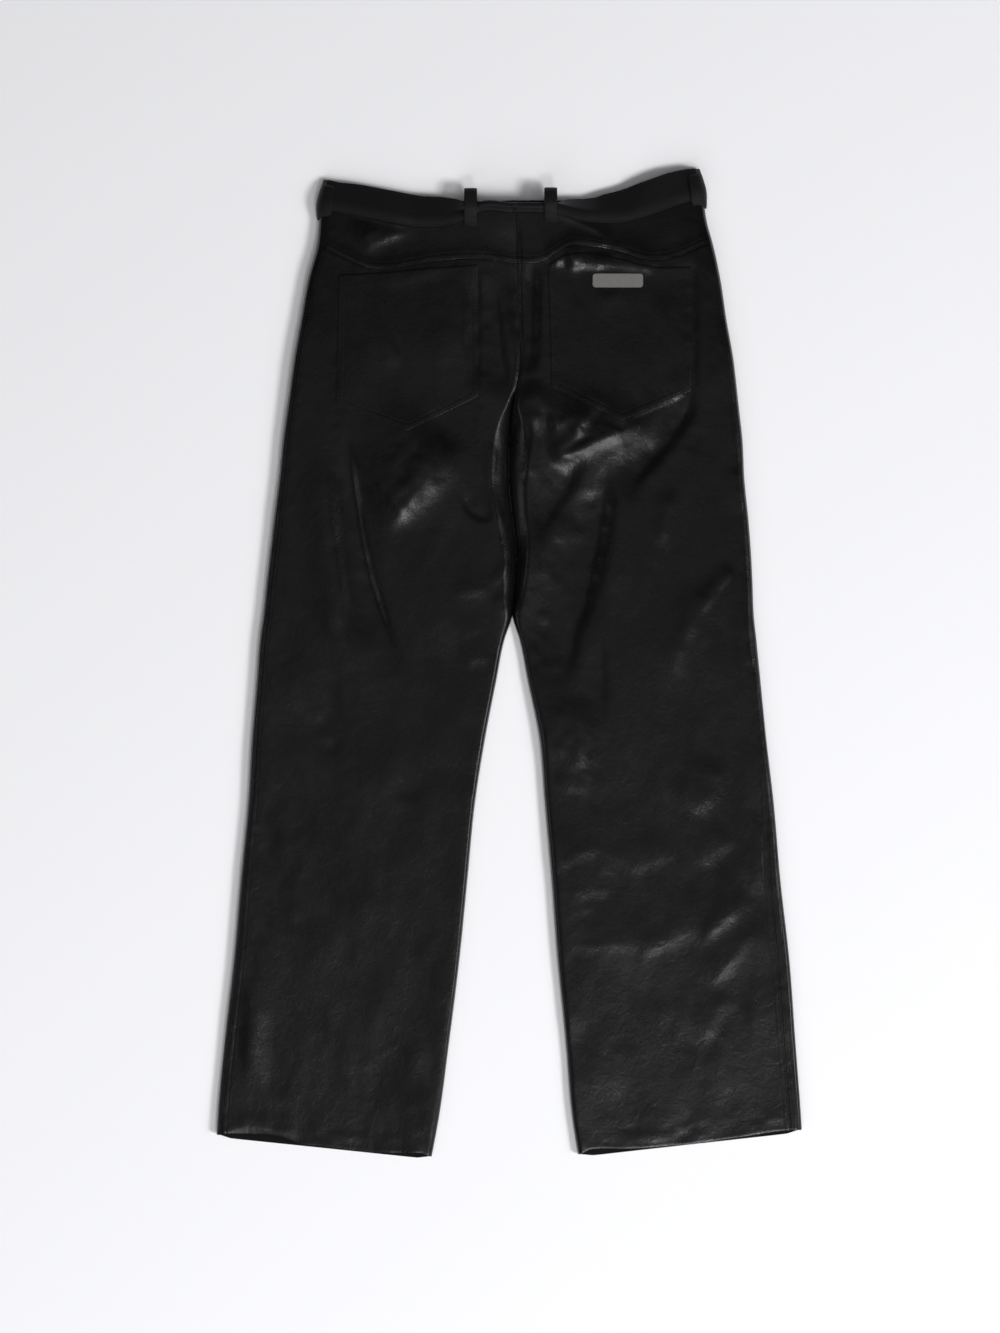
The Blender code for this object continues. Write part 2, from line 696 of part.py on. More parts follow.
def strip(name, path, across, width, wall, finish=LEATHER):
    """A strip along a path, its width along across and its wall to the path's left, looking down across."""
    path = np.asarray(path, float)
    across = unit(np.asarray(across, float))
    tangent = unit(np.gradient(path, axis=0))
    outward = unit(np.cross(across, tangent))
    shares = np.array([-0.5, 0.0, 0.5])
    middle = path[:, None] + shares[None, :, None] * width * across
    half = outward[:, None] * wall / 2
    return slab(name, middle + half, middle - half, finish)


def build_panels(half, word):
    """The back panel, yoke, pocket and front panel of one half."""
    back = slice(0, half.back_columns + 1)
    front = slice(half.back_columns, None)
    upper = slice(0, YOKE_ROW + 1)
    lower = slice(YOKE_ROW, None)
    rows = len(half.points)
    wall = np.full((rows, 1), WALL)
    wall[-1 - HEM_ROWS :] = HEM_WALL
    proud = np.zeros((YOKE_ROW + 1, 1))
    proud[-1] = YOKE_PROUD
    wall_piece(
        f"back_panel_{word}", half.points[lower, back], half.normals[lower, back], wall[lower],
        sides=("first_row", "first_column", "last_column"),
    )
    wall_piece(f"yoke_{word}", half.points[upper, back], half.normals[upper, back], WALL + proud, proud)
    wall_piece(
        f"front_panel_{word}", half.points[:, front], half.normals[:, front], wall,
        sides=("first_row", "first_column", "last_column"),
    )
    pocket = slice(POCKET_ROWS[0], POCKET_ROWS[1] + 1), slice(POCKET_COLUMNS[0], POCKET_COLUMNS[1] + 1)
    wall_piece(
        f"pocket_back_{word}", half.points[pocket], half.normals[pocket], WALL, POCKET_CLEAR + WALL, sides=()
    )


def build_waistband(left, right):
    """The back waistband and the two front ones, and their skins for what lies on them."""
    band = back_band_points(left, right)
    normals = unit(grid_normals(band, 1))
    columns = left.back_columns
    normals[0, : columns + 1] = left.normals[0, : columns + 1][::-1]
    normals[0, columns + 1 :] = right.normals[0, 1 : columns + 1]
    sides = ("first_row", "first_column", "last_column")
    skins = {}
    for half, word, end in ((left, "left", 0), (right, "right", -1)):
        front = front_band_points(half, band[:, end])
        front_normals = unit(grid_normals(front, half.side))
        front_normals[0] = half.normals[0, half.back_columns :]
        shared = unit(front_normals[:, 0] + normals[:, end])
        front_normals[:, 0] = shared
        normals[:, end] = shared
        skins[word] = (front, front_normals)
    wall_piece("waistband_back", band, normals, BAND_WALL, BAND_PROUD, gap=0.5, sides=sides)
    for word, (front, front_normals) in skins.items():
        lift = np.zeros(front.shape[:2])
        lift[:, : WRAP_COLUMNS + 1] = np.linspace(BAND_PROUD, 0, WRAP_COLUMNS + 1)
        if word == "left":
            front, front_normals, lift = add_lap(front, front_normals, lift)
        wall_piece(
            f"waistband_front_{word}", front, front_normals, BAND_WALL, lift, gap=0.5,
            sides=sides if word == "right" else ("first_row", "first_column"),
        )
    return band, normals, skins


def add_lap(front, normals, lift):
    """The left front waistband with the tab that laps below the right one and carries the button."""
    step = np.array([LAP_END - front[0, -1, 0], 0, 0])
    tab = np.stack([front[:, -1] + step * f for f in (0.33, 0.67, 1.0)], axis=1)
    down = np.broadcast_to(normals[:, -1:], tab.shape)
    return (
        np.concatenate([front, tab], axis=1),
        np.concatenate([normals, down], axis=1),
        np.concatenate([lift, np.zeros(tab.shape[:2])], axis=1),
    )


def build_side_loop(half, word, band, band_normals, skin):
    """The loop over the side seam, from just below the waistband to its top edge."""
    front, front_normals = skin
    if word == "left":
        stretch = slice(SIDE_LOOP_COLUMNS, 0, -1)
    else:
        stretch = slice(-1 - SIDE_LOOP_COLUMNS, -1)
    over, over_normals = band[:, stretch], band_normals[:, stretch]
    points = np.concatenate([over, front[:, : WRAP_COLUMNS + 1]], axis=1)
    normals = np.concatenate([over_normals, front_normals[:, : WRAP_COLUMNS + 1]], axis=1)
    columns = slice(half.back_columns - SIDE_LOOP_COLUMNS, half.back_columns + WRAP_COLUMNS + 1)
    below = half.points[0, columns] + unit(half.points[1, columns] - half.points[0, columns]) * 9
    points = np.concatenate([below[None], points])
    normals = np.concatenate([half.normals[0:1, columns], normals])
    lift = np.array(SIDE_LOOP_LIFTS)[:, None]
    wall_piece(f"belt_loop_side_{word}", points, normals, LOOP_WALL, lift + LOOP_WALL, sides=())


def build_back_loop(half, word):
    """A back loop: sewn below the waistband, standing over its curl and turned under at the top."""
    x = BACK_LOOPS[word]
    seam_y = float(half.rows[0](np.array([x]))[0])
    height = float(half.top(np.array([x]), np.array([seam_y]))[0])
    path = [(x, seam_y + forward, height + up) for forward, up in BACK_LOOP_PATH]
    strip(f"belt_loop_back_{word}", path, (1, 0, 0), LOOP_WIDTH, LOOP_WALL)


def build_front_loop(half, word, skin):
    """A front loop, pressed flat between the waistband and the surface."""
    x = FRONT_LOOPS[word]
    front = skin[0]
    nearest = int(np.argmin(np.abs(front[0, WRAP_COLUMNS + 1 :, 0] - x))) + WRAP_COLUMNS + 1
    low, high = front[0, nearest, 1] - 6, front[-1, nearest, 1] - 1
    path = [(x, low + (high - low) * f, PLACKET_WALL / 2) for f in np.linspace(0, 1, 5)]
    strip(f"belt_loop_front_{word}", path, (1, 0, 0), FRONT_LOOP_WIDTH, PLACKET_WALL)


def build_placket(left):
    """The placket sewn on the left front beside the opening."""
    rows = slice(0, PLACKET_ROWS + 1)
    columns = slice(-1 - PLACKET_COLUMNS, None)
    points = left.points[rows, columns]
    down = np.zeros_like(points)
    down[..., 2] = -1.0
    wall_piece("fly_placket", points, down, PLACKET_WALL, SEAM_GAP + PLACKET_WALL, sides=("first_row",))


def build_button():
    """The waist button: a low disc with rounded rims."""
    bm = bmesh.new()
    bmesh.ops.create_cone(
        bm, cap_ends=True, segments=24, radius1=BUTTON_RADIUS * MM, radius2=BUTTON_RADIUS * MM,
        depth=BUTTON_HEIGHT * MM,
    )
    rims = [edge for edge in bm.edges if abs(edge.verts[0].co.z - edge.verts[1].co.z) < 1e-6]
    bmesh.ops.bevel(
        bm, geom=rims, affect="EDGES", offset=0.4 * MM, segments=1, profile=0.5, material=-1
    )
    x, y = BUTTON_CENTRE
    bmesh.ops.translate(bm, verts=bm.verts, vec=(x * MM, y * MM, BUTTON_HEIGHT / 2 * MM))
    finish_object("waist_button", bm, METAL)


def build_plate(right):
    """The small plain plate on the right back pocket, tilted to lie on it."""
    width, height, wall = PLATE_SIZE
    x0, y0 = PLATE_CENTRE
    bm = bmesh.new()
    bmesh.ops.create_grid(bm, x_segments=1, y_segments=1, size=0.5)
    for vert in bm.verts:
        vert.co.x *= width
        vert.co.y *= height
    bmesh.ops.bevel(
        bm, geom=bm.verts[:], affect="VERTICES", offset=PLATE_CORNER, segments=3, profile=0.5, material=-1
    )
    grown = bmesh.ops.extrude_face_region(bm, geom=bm.faces[:])
    raised = [item for item in grown["geom"] if isinstance(item, bmesh.types.BMVert)]
    bmesh.ops.translate(bm, verts=raised, vec=(0, 0, wall))
    pocket = right.points[POCKET_ROWS[0] : POCKET_ROWS[0] + 4, POCKET_COLUMNS[0] : POCKET_COLUMNS[1] + 1]
    near = pocket[(np.abs(pocket[..., 0] - x0) < width) & (np.abs(pocket[..., 1] - y0) < height * 2)]
    ones = np.ones(len(near))
    tilt, *_ = np.linalg.lstsq(
        np.stack([near[:, 0] - x0, near[:, 1] - y0, ones], axis=1), near[:, 2], rcond=None
    )
    under = near[:, 2] - tilt[0] * (near[:, 0] - x0) - tilt[1] * (near[:, 1] - y0)
    inside = (np.abs(near[:, 0] - x0) < width * 0.7) & (np.abs(near[:, 1] - y0) < height * 1.5)
    clear = POCKET_CLEAR + WALL + SEAM_GAP
    for vert in bm.verts:
        x, y, z = vert.co
        height_here = under[inside].max() + clear + tilt[0] * x + tilt[1] * y + z
        vert.co = ((x0 + x) * MM, (y0 + y) * MM, height_here * MM)
    finish_object("pocket_plate", bm, METAL)


def clear_scene():
    """Removes the scene's objects."""
    for item in list(bpy.data.objects):
        bpy.data.objects.remove(item, do_unlink=True)


def main():
    """Builds the trousers."""
    clear_scene()
    left = Half(-1, LEFT_SECTIONS, LEFT_POCKET_LINES, LEFT_ROW_GUIDES, LEFT_LIFTS)
    right = Half(1, RIGHT_SECTIONS, RIGHT_POCKET_LINES, RIGHT_ROW_GUIDES, RIGHT_LIFTS)
    join_centre(left, right)
    band, band_normals, skins = build_waistband(left, right)
    for half, word in ((left, "left"), (right, "right")):
        build_panels(half, word)
        build_side_loop(half, word, band, band_normals, skins[word])
        build_back_loop(half, word)
        build_front_loop(half, word, skins[word])
    build_placket(left)
    build_button()
    build_plate(right)


main()
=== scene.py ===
"""The looks of a pair of leather trousers that lie flat on their front, back side up.

Tables and sizes are in millimetres, with +X to the right of the lay, +Y from the hems to the waist and
+Z up from the surface; meshes are made in metres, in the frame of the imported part. Each half of the
garment is one skin, a grid of points that runs from the centre back over the leg, round the side and
back below it. Every piece of leather is a stretch of that skin, given its thickness inwards.
"""

import logging
import math
from dataclasses import dataclass, field
from enum import Enum
from typing import Any, Callable, Iterable, Sequence

import bmesh
import bpy
import numpy as np
from mathutils import Matrix, Vector


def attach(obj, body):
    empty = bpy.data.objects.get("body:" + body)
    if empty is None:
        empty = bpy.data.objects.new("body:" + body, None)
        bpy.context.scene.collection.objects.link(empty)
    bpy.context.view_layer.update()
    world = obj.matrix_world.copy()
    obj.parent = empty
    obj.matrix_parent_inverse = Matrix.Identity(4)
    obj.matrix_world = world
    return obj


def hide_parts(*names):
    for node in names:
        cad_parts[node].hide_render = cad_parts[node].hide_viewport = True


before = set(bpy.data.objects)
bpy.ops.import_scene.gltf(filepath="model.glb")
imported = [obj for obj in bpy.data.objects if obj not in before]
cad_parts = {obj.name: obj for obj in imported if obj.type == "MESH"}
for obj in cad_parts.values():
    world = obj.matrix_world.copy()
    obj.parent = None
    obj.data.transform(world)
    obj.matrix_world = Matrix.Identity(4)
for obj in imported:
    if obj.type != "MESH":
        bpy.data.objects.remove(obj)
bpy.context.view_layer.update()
BODY = "root"
LOG = logging.getLogger("leather_trousers")

Array = np.ndarray
Curve = Callable[[Any], Any]

MM = 0.001
LAY_CENTRE = (-0.4, 2.9)

# Leather
WALL = 1.5
HEM_WALL = 2.2
BAND_WALL = 2.8
LOOP_WALL = 1.6
PLACKET_WALL = 1.2
SEAM_GAP = 0.3
MOST_DRAWN_IN = 0.45
BAND_GAP = 0.5
BAND_PROUD = 0.9
BAND_DRAW = 7.5
BAND_DRAW_POWER = 1.5
BAND_DRAW_FROM = 0.84
YOKE_PROUD = 1.0
YOKE_LEDGE = 2.0
YOKE_FALL = 8.0
YOKE_ROLL = 0.4
YOKE_ROLL_MEAN = 0.4
POCKET_CLEAR = 0.3
RIM_ROUND = 0.35
RIM_ANGLE = math.radians(50)
SHARP_ANGLE = math.radians(55)

# The lay
BAND_WIDTH = 40.0
EDGE_HEIGHT = 3.15
UNDER_ROUND = 5.0
FOLD_POWER = 3.6
VALLEY_POWER = 1.35
VALLEY_POWER_Y = (20, 80)
LEAST_LAY = 9.6
LEAST_LAY_BLEND = 1.2
CROTCH_Y = 248.0
VALLEY_FADE_Y = (256.0, 318.0)
FRONT_RISE_TOP_Y = 292.0
CENTRE_GROOVE = 0.1
CENTRE_FRONT_TOP = (2.5, 471.0)
BAND_REST = 12.0
BAND_BEND = (5.0, 17.0)
LAP_END = 52.0
LIFT_REACH = 70.0
LIFT_TOP = 4
PLACKET_LIFT = 1.55
PLACKET_FOOT_Y = 318.0
PLACKET_RAMP = 30
PLACKET_FADE = (48, 75)
PLACKET_WIDTH = 44
POCKET_PUCKER_FOOT_Y = (240, 270)
POCKET_PUCKER_TOP_Y = (440, 460)

# The front's rows on a scale from the waist to the hem: each half sags at the waist over the first of
# them, and both are drawn up at the hem over the last
FRONT_SCALE = 41
FRONT_SAG_END = 7
FRONT_SAG = {-1: 10.0, 1: 14.0}
FRONT_DROP_FROM = 38
FRONT_HEM_DROP = 3.6

LOOP_WIDTH = 14.0
FRONT_LOOP_WIDTH = 12.0

# Rows of the skin between its row guides from the waist down, and columns between its column guides
GUIDE_ROWS = (44, 5, 66, 26, 286)
YOKE_ROW = GUIDE_ROWS[0]
POCKET_ROWS = (GUIDE_ROWS[0] + GUIDE_ROWS[1], sum(GUIDE_ROWS[:3]))
HEM_ROWS = 6
GUIDE_COLUMNS = (22, 60, 28)
INNER_CROWDING = 1.4
OUTER_CROWDING = 1.5
WAIST_CROWDING = 0.11
SETTLING_ROUNDS = 30
POCKET_COLUMNS = (GUIDE_COLUMNS[0], sum(GUIDE_COLUMNS[:2]))
WRAP_COLUMNS = 10
UNDER_STEPS = (0.1, 0.29, 0.6, 1.0)
UNDER_SPLIT = tuple(step / 22 for step in range(23))
FRONT_SETTLING_ROUNDS = 4
BAND_ROWS = 48
BAND_PATH_STEPS = 200
BAND_BLEND_COLUMNS = 10
TAB_COLUMNS = 12
STRIP_COLUMNS = 12
STRIP_CROWN = 0.35
SIDE_LOOP_COLUMNS = 21
SIDE_LOOP_FOOT = (9, 6, 3)
SIDE_LOOP_REACH = 15.5


@dataclass(frozen=True)
class Section:
    """A crossing of one half: its inner and outer edge, and how far in from the edge the side seam lies."""

    y: float
    inner: float
    outer: float
    seam: float


@dataclass(frozen=True)
class Height:
    """The lay's height near the centre, half way across and near the side, and how round its edges are."""

    y: float
    inner: float
    middle: float
    outer: float
    inner_round: float
    outer_round: float


@dataclass(frozen=True)
class PocketLine:
    """Where the lines through a pocket's two sides cross a level."""

    y: float
    inner: float
    outer: float


@dataclass(frozen=True)
class BandPitch:
    """How a waistband stands: its slope in degrees by the seam and at its top, and its share of the width."""

    x: float
    seam: float
    top: float
    share: float


@dataclass(frozen=True)
class Lift:
    """How high the front waistband lies above the surface, over the button, the loops and the lap."""

    x: float
    rise: float


def table(kind: type, *rows: tuple) -> tuple:
    """A table's rows as objects of one kind.

    Args:
        kind: the rows' class.
        rows: each row's values, in the order of its fields.

    Returns:
        The objects.
    """
    return tuple(kind(*row) for row in rows)


LEFT_SECTIONS = table(
    Section,
    (545, 6.5, -209.0, 4.0), (512, 6.5, -209.0, 4.0), (486, 7.1, -209.5, 4.0), (463, 7.7, -211.5, 4.0),
    (424, 8.2, -221.7, 3.5), (380, 9.3, -229.4, 3.0), (336, 12.0, -237.1, 3.0), (312, 9.0, -240.5, 3.0),
    (286, 3.0, -244.0, 3.0), (248, 0.0, -249.2, 3.0), (204, -0.55, -253.6, 3.0),
    (160, 3.75, -259.1, 3.0), (127, 7.05, -263.0, 3.0), (94, 6.25, -266.8, 3.0),
    (54, 3.05, -271.0, 3.0), (28, -5.5, -274.5, 3.0), (-16, -14.3, -277.8, 3.0),
    (-82, -27.0, -283.3, 3.0), (-148, -37.4, -287.0, 3.0), (-236, -46.2, -295.4, 3.5),
    (-324, -55.0, -303.0, 4.0), (-412, -66.0, -313.0, 4.0), (-500, -78.0, -321.0, 4.0),
    (-545, -86.4, -323.2, 4.0),
)

RIGHT_SECTIONS = table(
    Section,
    (545, 6.5, 213.5, 4.0), (512, 6.5, 213.5, 4.0), (486, 7.1, 217.0, 4.0), (463, 7.7, 223.3, 4.0),
    (424, 8.2, 231.6, 3.5), (380, 9.3, 238.2, 3.0), (336, 12.0, 245.9, 3.0), (312, 9.0, 248.8, 3.0),
    (286, 3.0, 251.6, 3.0), (248, 0.15, 255.8, 3.0), (204, -0.4, 258.0, 3.0), (160, 3.9, 262.4, 3.0),
    (127, 7.2, 265.0, 3.0), (94, 6.4, 266.8, 3.0), (54, 3.2, 268.4, 3.0), (28, 11.0, 271.2, 3.5),
    (-16, 19.8, 275.6, 4.0), (-82, 33.0, 282.2, 5.0), (-148, 38.5, 289.9, 7.0),
    (-236, 46.2, 297.6, 11.0), (-324, 52.8, 307.5, 13.0), (-412, 61.6, 314.0, 13.0),
    (-500, 69.3, 320.5, 12.0), (-545, 76.5, 323.0, 11.0),
)

HEIGHTS = table(
    Height,
    (545, 28.0, 21.0, 16.0, 40.0, 15.0), (498, 28.0, 22.0, 17.0, 40.0, 15.0),
    (463, 25.0, 21.0, 18.0, 40.0, 15.0), (424, 22.0, 20.0, 19.0, 30.0, 14.0),
    (336, 19.0, 20.0, 20.0, 5.0, 14.0), (284, 18.0, 18.8, 19.1, 7.0, 14.0),
    (262, 17.7, 18.3, 18.7, 15.0, 14.0), (248, 17.5, 18.0, 18.5, 18.0, 14.0),
    (94, 15.5, 15.5, 17.0, 13.0, 13.0), (-82, 14.5, 14.0, 16.0, 12.0, 12.0),
    (-280, 13.5, 12.5, 14.5, 11.0, 11.0), (-450, 12.5, 11.2, 13.0, 9.0, 9.5),
    (-545, 12.0, 10.4, 12.5, 8.0, 9.0),
)

LEFT_POCKET_LINES = table(
    PocketLine,
    (545, -35, -184), (428, -35, -186.5), (286, -34.7, -189.5), (248, -37, -190), (-148, -85, -225),
    (-545, -133, -261),
)

RIGHT_POCKET_LINES = table(
    PocketLine,
    (545, 42, 188), (436, 42.5, 198.6), (301, 46.8, 198.6), (248, 47, 200), (-148, 86, 234),
    (-545, 127, 262),
)

# Row guides, each a line across one half from its inner edge to its outer one, as (x, y) points
LEFT_ROW_GUIDES = {
    "waist_seam": (
        (2.5, 495), (-34.7, 494.5), (-43.5, 489), (-65.5, 481.3), (-87.5, 479.1),
        (-120.5, 482.4), (-137, 485.7), (-192, 496.7), (-209.6, 498.9),
    ),
    "yoke_seam": (
        (5, 440.6), (-10.5, 442.8), (-76.5, 442.8), (-104, 438.4), (-137, 434),
        (-153.5, 435.1), (-175.5, 443.9), (-197.5, 454.9), (-212, 462.6),
    ),
    "pocket_top": ((6, 434.5), (-34.7, 438.5), (-104, 433.5), (-137, 430.3), (-186.5, 427.4), (-220, 425)),
    "pocket_foot": ((8, 304), (-34.7, 294.3), (-112, 256.9), (-189.5, 285.5), (-244, 283)),
    "crotch": ((0, CROTCH_Y), (-34.7, 241), (-112, 229), (-190, 232), (-250, 232)),
    "hem": (
        (-80, -541.5), (-88, -538), (-97, -534.6), (-118, -534.3), (-149, -534), (-172, -531.2),
        (-206, -527.2), (-227.5, -525.3), (-238, -522), (-251.5, -517.1), (-268.5, -514), (-289, -513.2),
        (-315, -514.4), (-324, -515.5),
    ),
}

RIGHT_ROW_GUIDES = {
    "waist_seam": (
        (2.5, 495), (39, 494.5), (47.9, 493.4), (74.3, 486.4), (99.6, 484.0),
        (121.6, 484.2), (152.4, 492), (187.6, 504.8), (213.9, 512),
    ),
    "yoke_seam": (
        (5, 440.6), (35.8, 442.4), (50, 450.5), (63.9, 458.9), (85, 458.6), (104.8, 456.2), (126, 451.4),
        (139.2, 446.8), (152.4, 443.9), (165.6, 443.9), (187, 448.8), (209.6, 459.3), (225, 466),
    ),
    "pocket_top": (
        (6, 434.5), (42.4, 437.5), (60, 449), (85, 451.6), (106, 448.6), (126, 443.9), (143, 438.5),
        (165, 435.5), (198.6, 436.5), (231, 441),
    ),
    "pocket_foot": ((8, 304), (46.8, 305.3), (122.7, 267.9), (198.6, 300.9), (250, 298)),
    "crotch": ((0.15, CROTCH_Y), (47, 246), (122, 241), (198, 244), (256, 244)),
    "hem": (
        (72, -538), (80, -535), (88, -530.5), (100, -529.4), (126.5, -530), (143.5, -529.4), (198.5, -525),
        (263.5, -515.6), (291, -510.9), (322, -508.3),
    ),
}

ROW_ORDER = ("waist_seam", "yoke_seam", "pocket_top", "pocket_foot", "crotch", "hem")
ROUND_GUIDES = ("waist_seam", "yoke_seam")

BAND_PITCHES = table(
    BandPitch,
    (-210, 4, -8, 0.85), (-192, 5, -24, 0.88), (-165, 6, -34, 1.0), (-100, 6, -34, 1.0),
    (-68, 5, -46, 1.0), (-50, 9, -72, 1.0), (-36, 24, -122, 1.0), (3, 26, -126, 1.0),
    (40, 24, -118, 1.0), (52, 9, -88, 1.0), (74, 4, -64, 1.0), (90, 6, -59, 1.0), (104, 6, -44, 1.0),
    (122, 5, -29, 1.0), (144, 5, -12, 1.0), (168, 4, -6, 1.0), (192, 6, -12, 0.94), (214, 6, -8, 0.82),
)

LEFT_LIFTS = table(
    Lift,
    (-210, 0.0), (-165, 0.2), (-130, 1.7), (-70, 1.7), (-45, 2.3), (60, 2.3),
)
RIGHT_LIFTS = table(
    Lift,
    (0, 5.5), (58, 5.5), (95, 1.8), (135, 1.7), (170, 0.2), (214, 0.0),
)

BACK_LOOP_PATH = (
    (-9.0, 0.9), (-3.5, 1.9), (2.5, 4.8), (12.0, 7.8), (21.0, 7.4), (29.0, 5.2), (33.5, 0.8),
    (33.0, -3.8), (29.0, -7.4), (23.0, -10.0), (17.0, -11.6),
)
SIDE_LOOP_LIFTS = ((0, 0.5), (4, 1.3), (9, 1.6), (14, 2.0), (24, 2.3), (34, 1.8), (49, 1.4))


def curve_through(pairs: Iterable[tuple[float, float]], smooth: bool = True) -> Curve:
    """A function through (x, y) pairs: cubic with the slopes of its neighbours, or straight.

    Args:
        pairs: the points, in any order.
        smooth: whether the function is smooth between its points.

    Returns:
        A function of an array, level beyond its ends.
    """
    ordered = sorted(pairs)
    xs = np.array([pair[0] for pair in ordered], float)
    ys = np.array([pair[1] for pair in ordered], float)
    if not smooth:
        return lambda x: np.interp(x, xs, ys)
    slopes = np.gradient(ys, xs)

    def curve(x: Any) -> Any:
        x = np.clip(x, xs[0], xs[-1])
        i = np.clip(np.searchsorted(xs, x, side="right") - 1, 0, len(xs) - 2)
        span = xs[i + 1] - xs[i]
        f = (x - xs[i]) / span
        start = (1 + 2 * f) * (1 - f) ** 2 * ys[i] + f * (1 - f) ** 2 * span * slopes[i]
        end = f * f * (3 - 2 * f) * ys[i + 1] - f * f * (1 - f) * span * slopes[i + 1]
        return start + end

    return curve


def column(rows: Sequence[Any], key: str, value: str, smooth: bool = True) -> Curve:
    """A curve of one column of a table against another.

    Args:
        rows: the table's rows.
        key: the column that the curve is a function of.
        value: the column that it gives.
        smooth: whether it is smooth between the rows.

    Returns:
        The curve.
    """
    return curve_through([(getattr(row, key), getattr(row, value)) for row in rows], smooth)


def ease(value: Any, low: float, high: float) -> Any:
    """0 below low, 1 above high, and a smooth step between them."""
    f = np.clip((value - low) / (high - low), 0, 1)
    return f * f * (3 - 2 * f)


def round_over(distance: Any, reach: Any, power: Any = 2.0) -> Any:
    """The height, 0 to 1, of a quarter round at a distance in from its edge; a higher power is squarer."""
    f = 1 - np.clip(distance / reach, 0, 1)
    return (1 - f**power) ** (1 / power)


def unit(vectors: Array) -> Array:
    """The vectors at length 1."""
    return vectors / np.maximum(np.linalg.norm(vectors, axis=-1, keepdims=True), 1e-9)


@dataclass(frozen=True)
class Swell:
    """Smooth noise over the lay, of a height and with swells of a size across and along."""

    height: float
    across: float
    along: float
    seed: int

    COUNT = 97

    def relief(self, x: Array, y: Array) -> Array:
        """The noise at places of the lay, from minus the height to the height."""
        count = self.COUNT
        lattice = np.random.default_rng(self.seed).uniform(-1, 1, (count, count))
        u, v = x / self.across + count * 4, y / self.along + count * 4
        i, j = np.floor(u).astype(int), np.floor(v).astype(int)
        f, g = u - i, v - j
        f, g = f**3 * (f * (6 * f - 15) + 10), g**3 * (g * (6 * g - 15) + 10)
        i0, i1, j0, j1 = i % count, (i + 1) % count, j % count, (j + 1) % count
        low = lattice[i0, j0] * (1 - f) + lattice[i1, j0] * f
        high = lattice[i0, j1] * (1 - f) + lattice[i1, j1] * f
        return self.height * (low * (1 - g) + high * g)


SWELLS = (Swell(0.55, 34, 62, 1), Swell(0.22, 15, 24, 2))
CREASE_SWELL = Swell(0.14, 13, 13, 5)
YOKE_SWELL = Swell(0.7, 31, 47, 9)
FINE_SWELL = Swell(1.0, 7, 7, 11)
HEM_SWELL = Swell(1.0, 16, 11, 12)


@dataclass(frozen=True)
class Pucker:
    """How high sewing draws the leather up, at what distance from a seam and over what reach."""

    rise: float
    distance: float
    reach: float

    def share(self, distance: Array) -> Array:
        """The share of the rise, 0 to 1, at distances from the seam."""
        return np.exp(-(((distance - self.distance) / self.reach) ** 2))


YOKE_PUCKER = Pucker(0.2, 0, 9)
HEM_PUCKER = Pucker(0.4, 12, 12)
SIDE_PUCKER = Pucker(0.14, 10, 9)
POCKET_PUCKER = Pucker(0.2, 0, 7)


@dataclass(frozen=True)
class Fold:
    """A large soft ridge, or a trough where its height is negative, bowed between its ends."""

    start: tuple[float, float]
    end: tuple[float, float]
    bow: float
    height: float
    left: float
    right: float

    def relief(self, x: Array, y: Array) -> Array:
        """The fold's height at places of the lay."""
        start, end = np.array(self.start), np.array(self.end)
        length = math.dist(self.start, self.end)
        along = (end - start) / length
        s = ((x - start[0]) * along[0] + (y - start[1]) * along[1]) / length
        across = -(x - start[0]) * along[1] + (y - start[1]) * along[0]
        inside = np.clip(s, 0, 1)
        across = across - self.bow * 4 * inside * (1 - inside)
        width = np.where(across > 0, self.left, self.right)
        beyond = np.maximum(np.abs(s - 0.5) - 0.5, 0) * length
        taper = (1 - np.abs(2 * inside - 1) ** 3) * np.exp(-((beyond / width) ** 2))
        return self.height * taper * np.exp(-((across / width) ** 2))


@dataclass(frozen=True)
class Crease:
    """A fine crease along a path: a ridge, or a trough where its height is negative."""

    path: tuple[tuple[float, float], ...]
    height: float
    left: float
    right: float
    fade: float = 0.35

    STEPS = 20
    TIP = 0.5
    REACH = 3.2

    def spine(self) -> Array:
        """Points along the path, smooth between its own."""
        path = np.array(self.path, float)
        place = np.arange(len(path))
        at = np.linspace(0, len(path) - 1, self.STEPS + 1)
        return np.stack([curve_through(zip(place, path[:, k]))(at) for k in (0, 1)], axis=-1)

    def relief(self, x: Array, y: Array) -> Array:
        """The crease's height at places of the lay."""
        spine = self.spine()
        reach = self.REACH * max(self.left, self.right)
        low, high = spine.min(axis=0) - reach, spine.max(axis=0) + reach
        near = (x > low[0]) & (x < high[0]) & (y > low[1]) & (y < high[1])
        total = np.zeros_like(x)
        if not near.any():
            return total
        place = np.stack([x[near], y[near]], axis=-1)[:, None]
        start, step = spine[:-1][None], np.diff(spine, axis=0)[None]
        share = np.clip(((place - start) * step).sum(-1) / (step**2).sum(-1), 0, 1)
        apart = place - start - share[..., None] * step
        distance = np.linalg.norm(apart, axis=-1)
        nearest = distance.argmin(axis=1)
        rows = np.arange(len(nearest))
        distance, share = distance[rows, nearest], share[rows, nearest]
        side = step[0, nearest, 0] * apart[rows, nearest, 1] - step[0, nearest, 1] * apart[rows, nearest, 0]
        lengths = np.linalg.norm(step[0], axis=-1)
        run = np.concatenate([[0], np.cumsum(lengths)])
        s = (run[nearest] + share * lengths[nearest]) / run[-1]
        width = np.where(side > 0, self.left, self.right)
        across = (np.sqrt(distance**2 + self.TIP**2) - self.TIP) / width
        taper = ease(s, -0.02, self.fade) * (1 - ease(s, 1 - self.fade, 1.02))
        uneven = 1 + CREASE_SWELL.relief(place[:, 0, 0], place[:, 0, 1])
        total[near] = self.height * taper * uneven * np.exp(-(across**2))
        return total


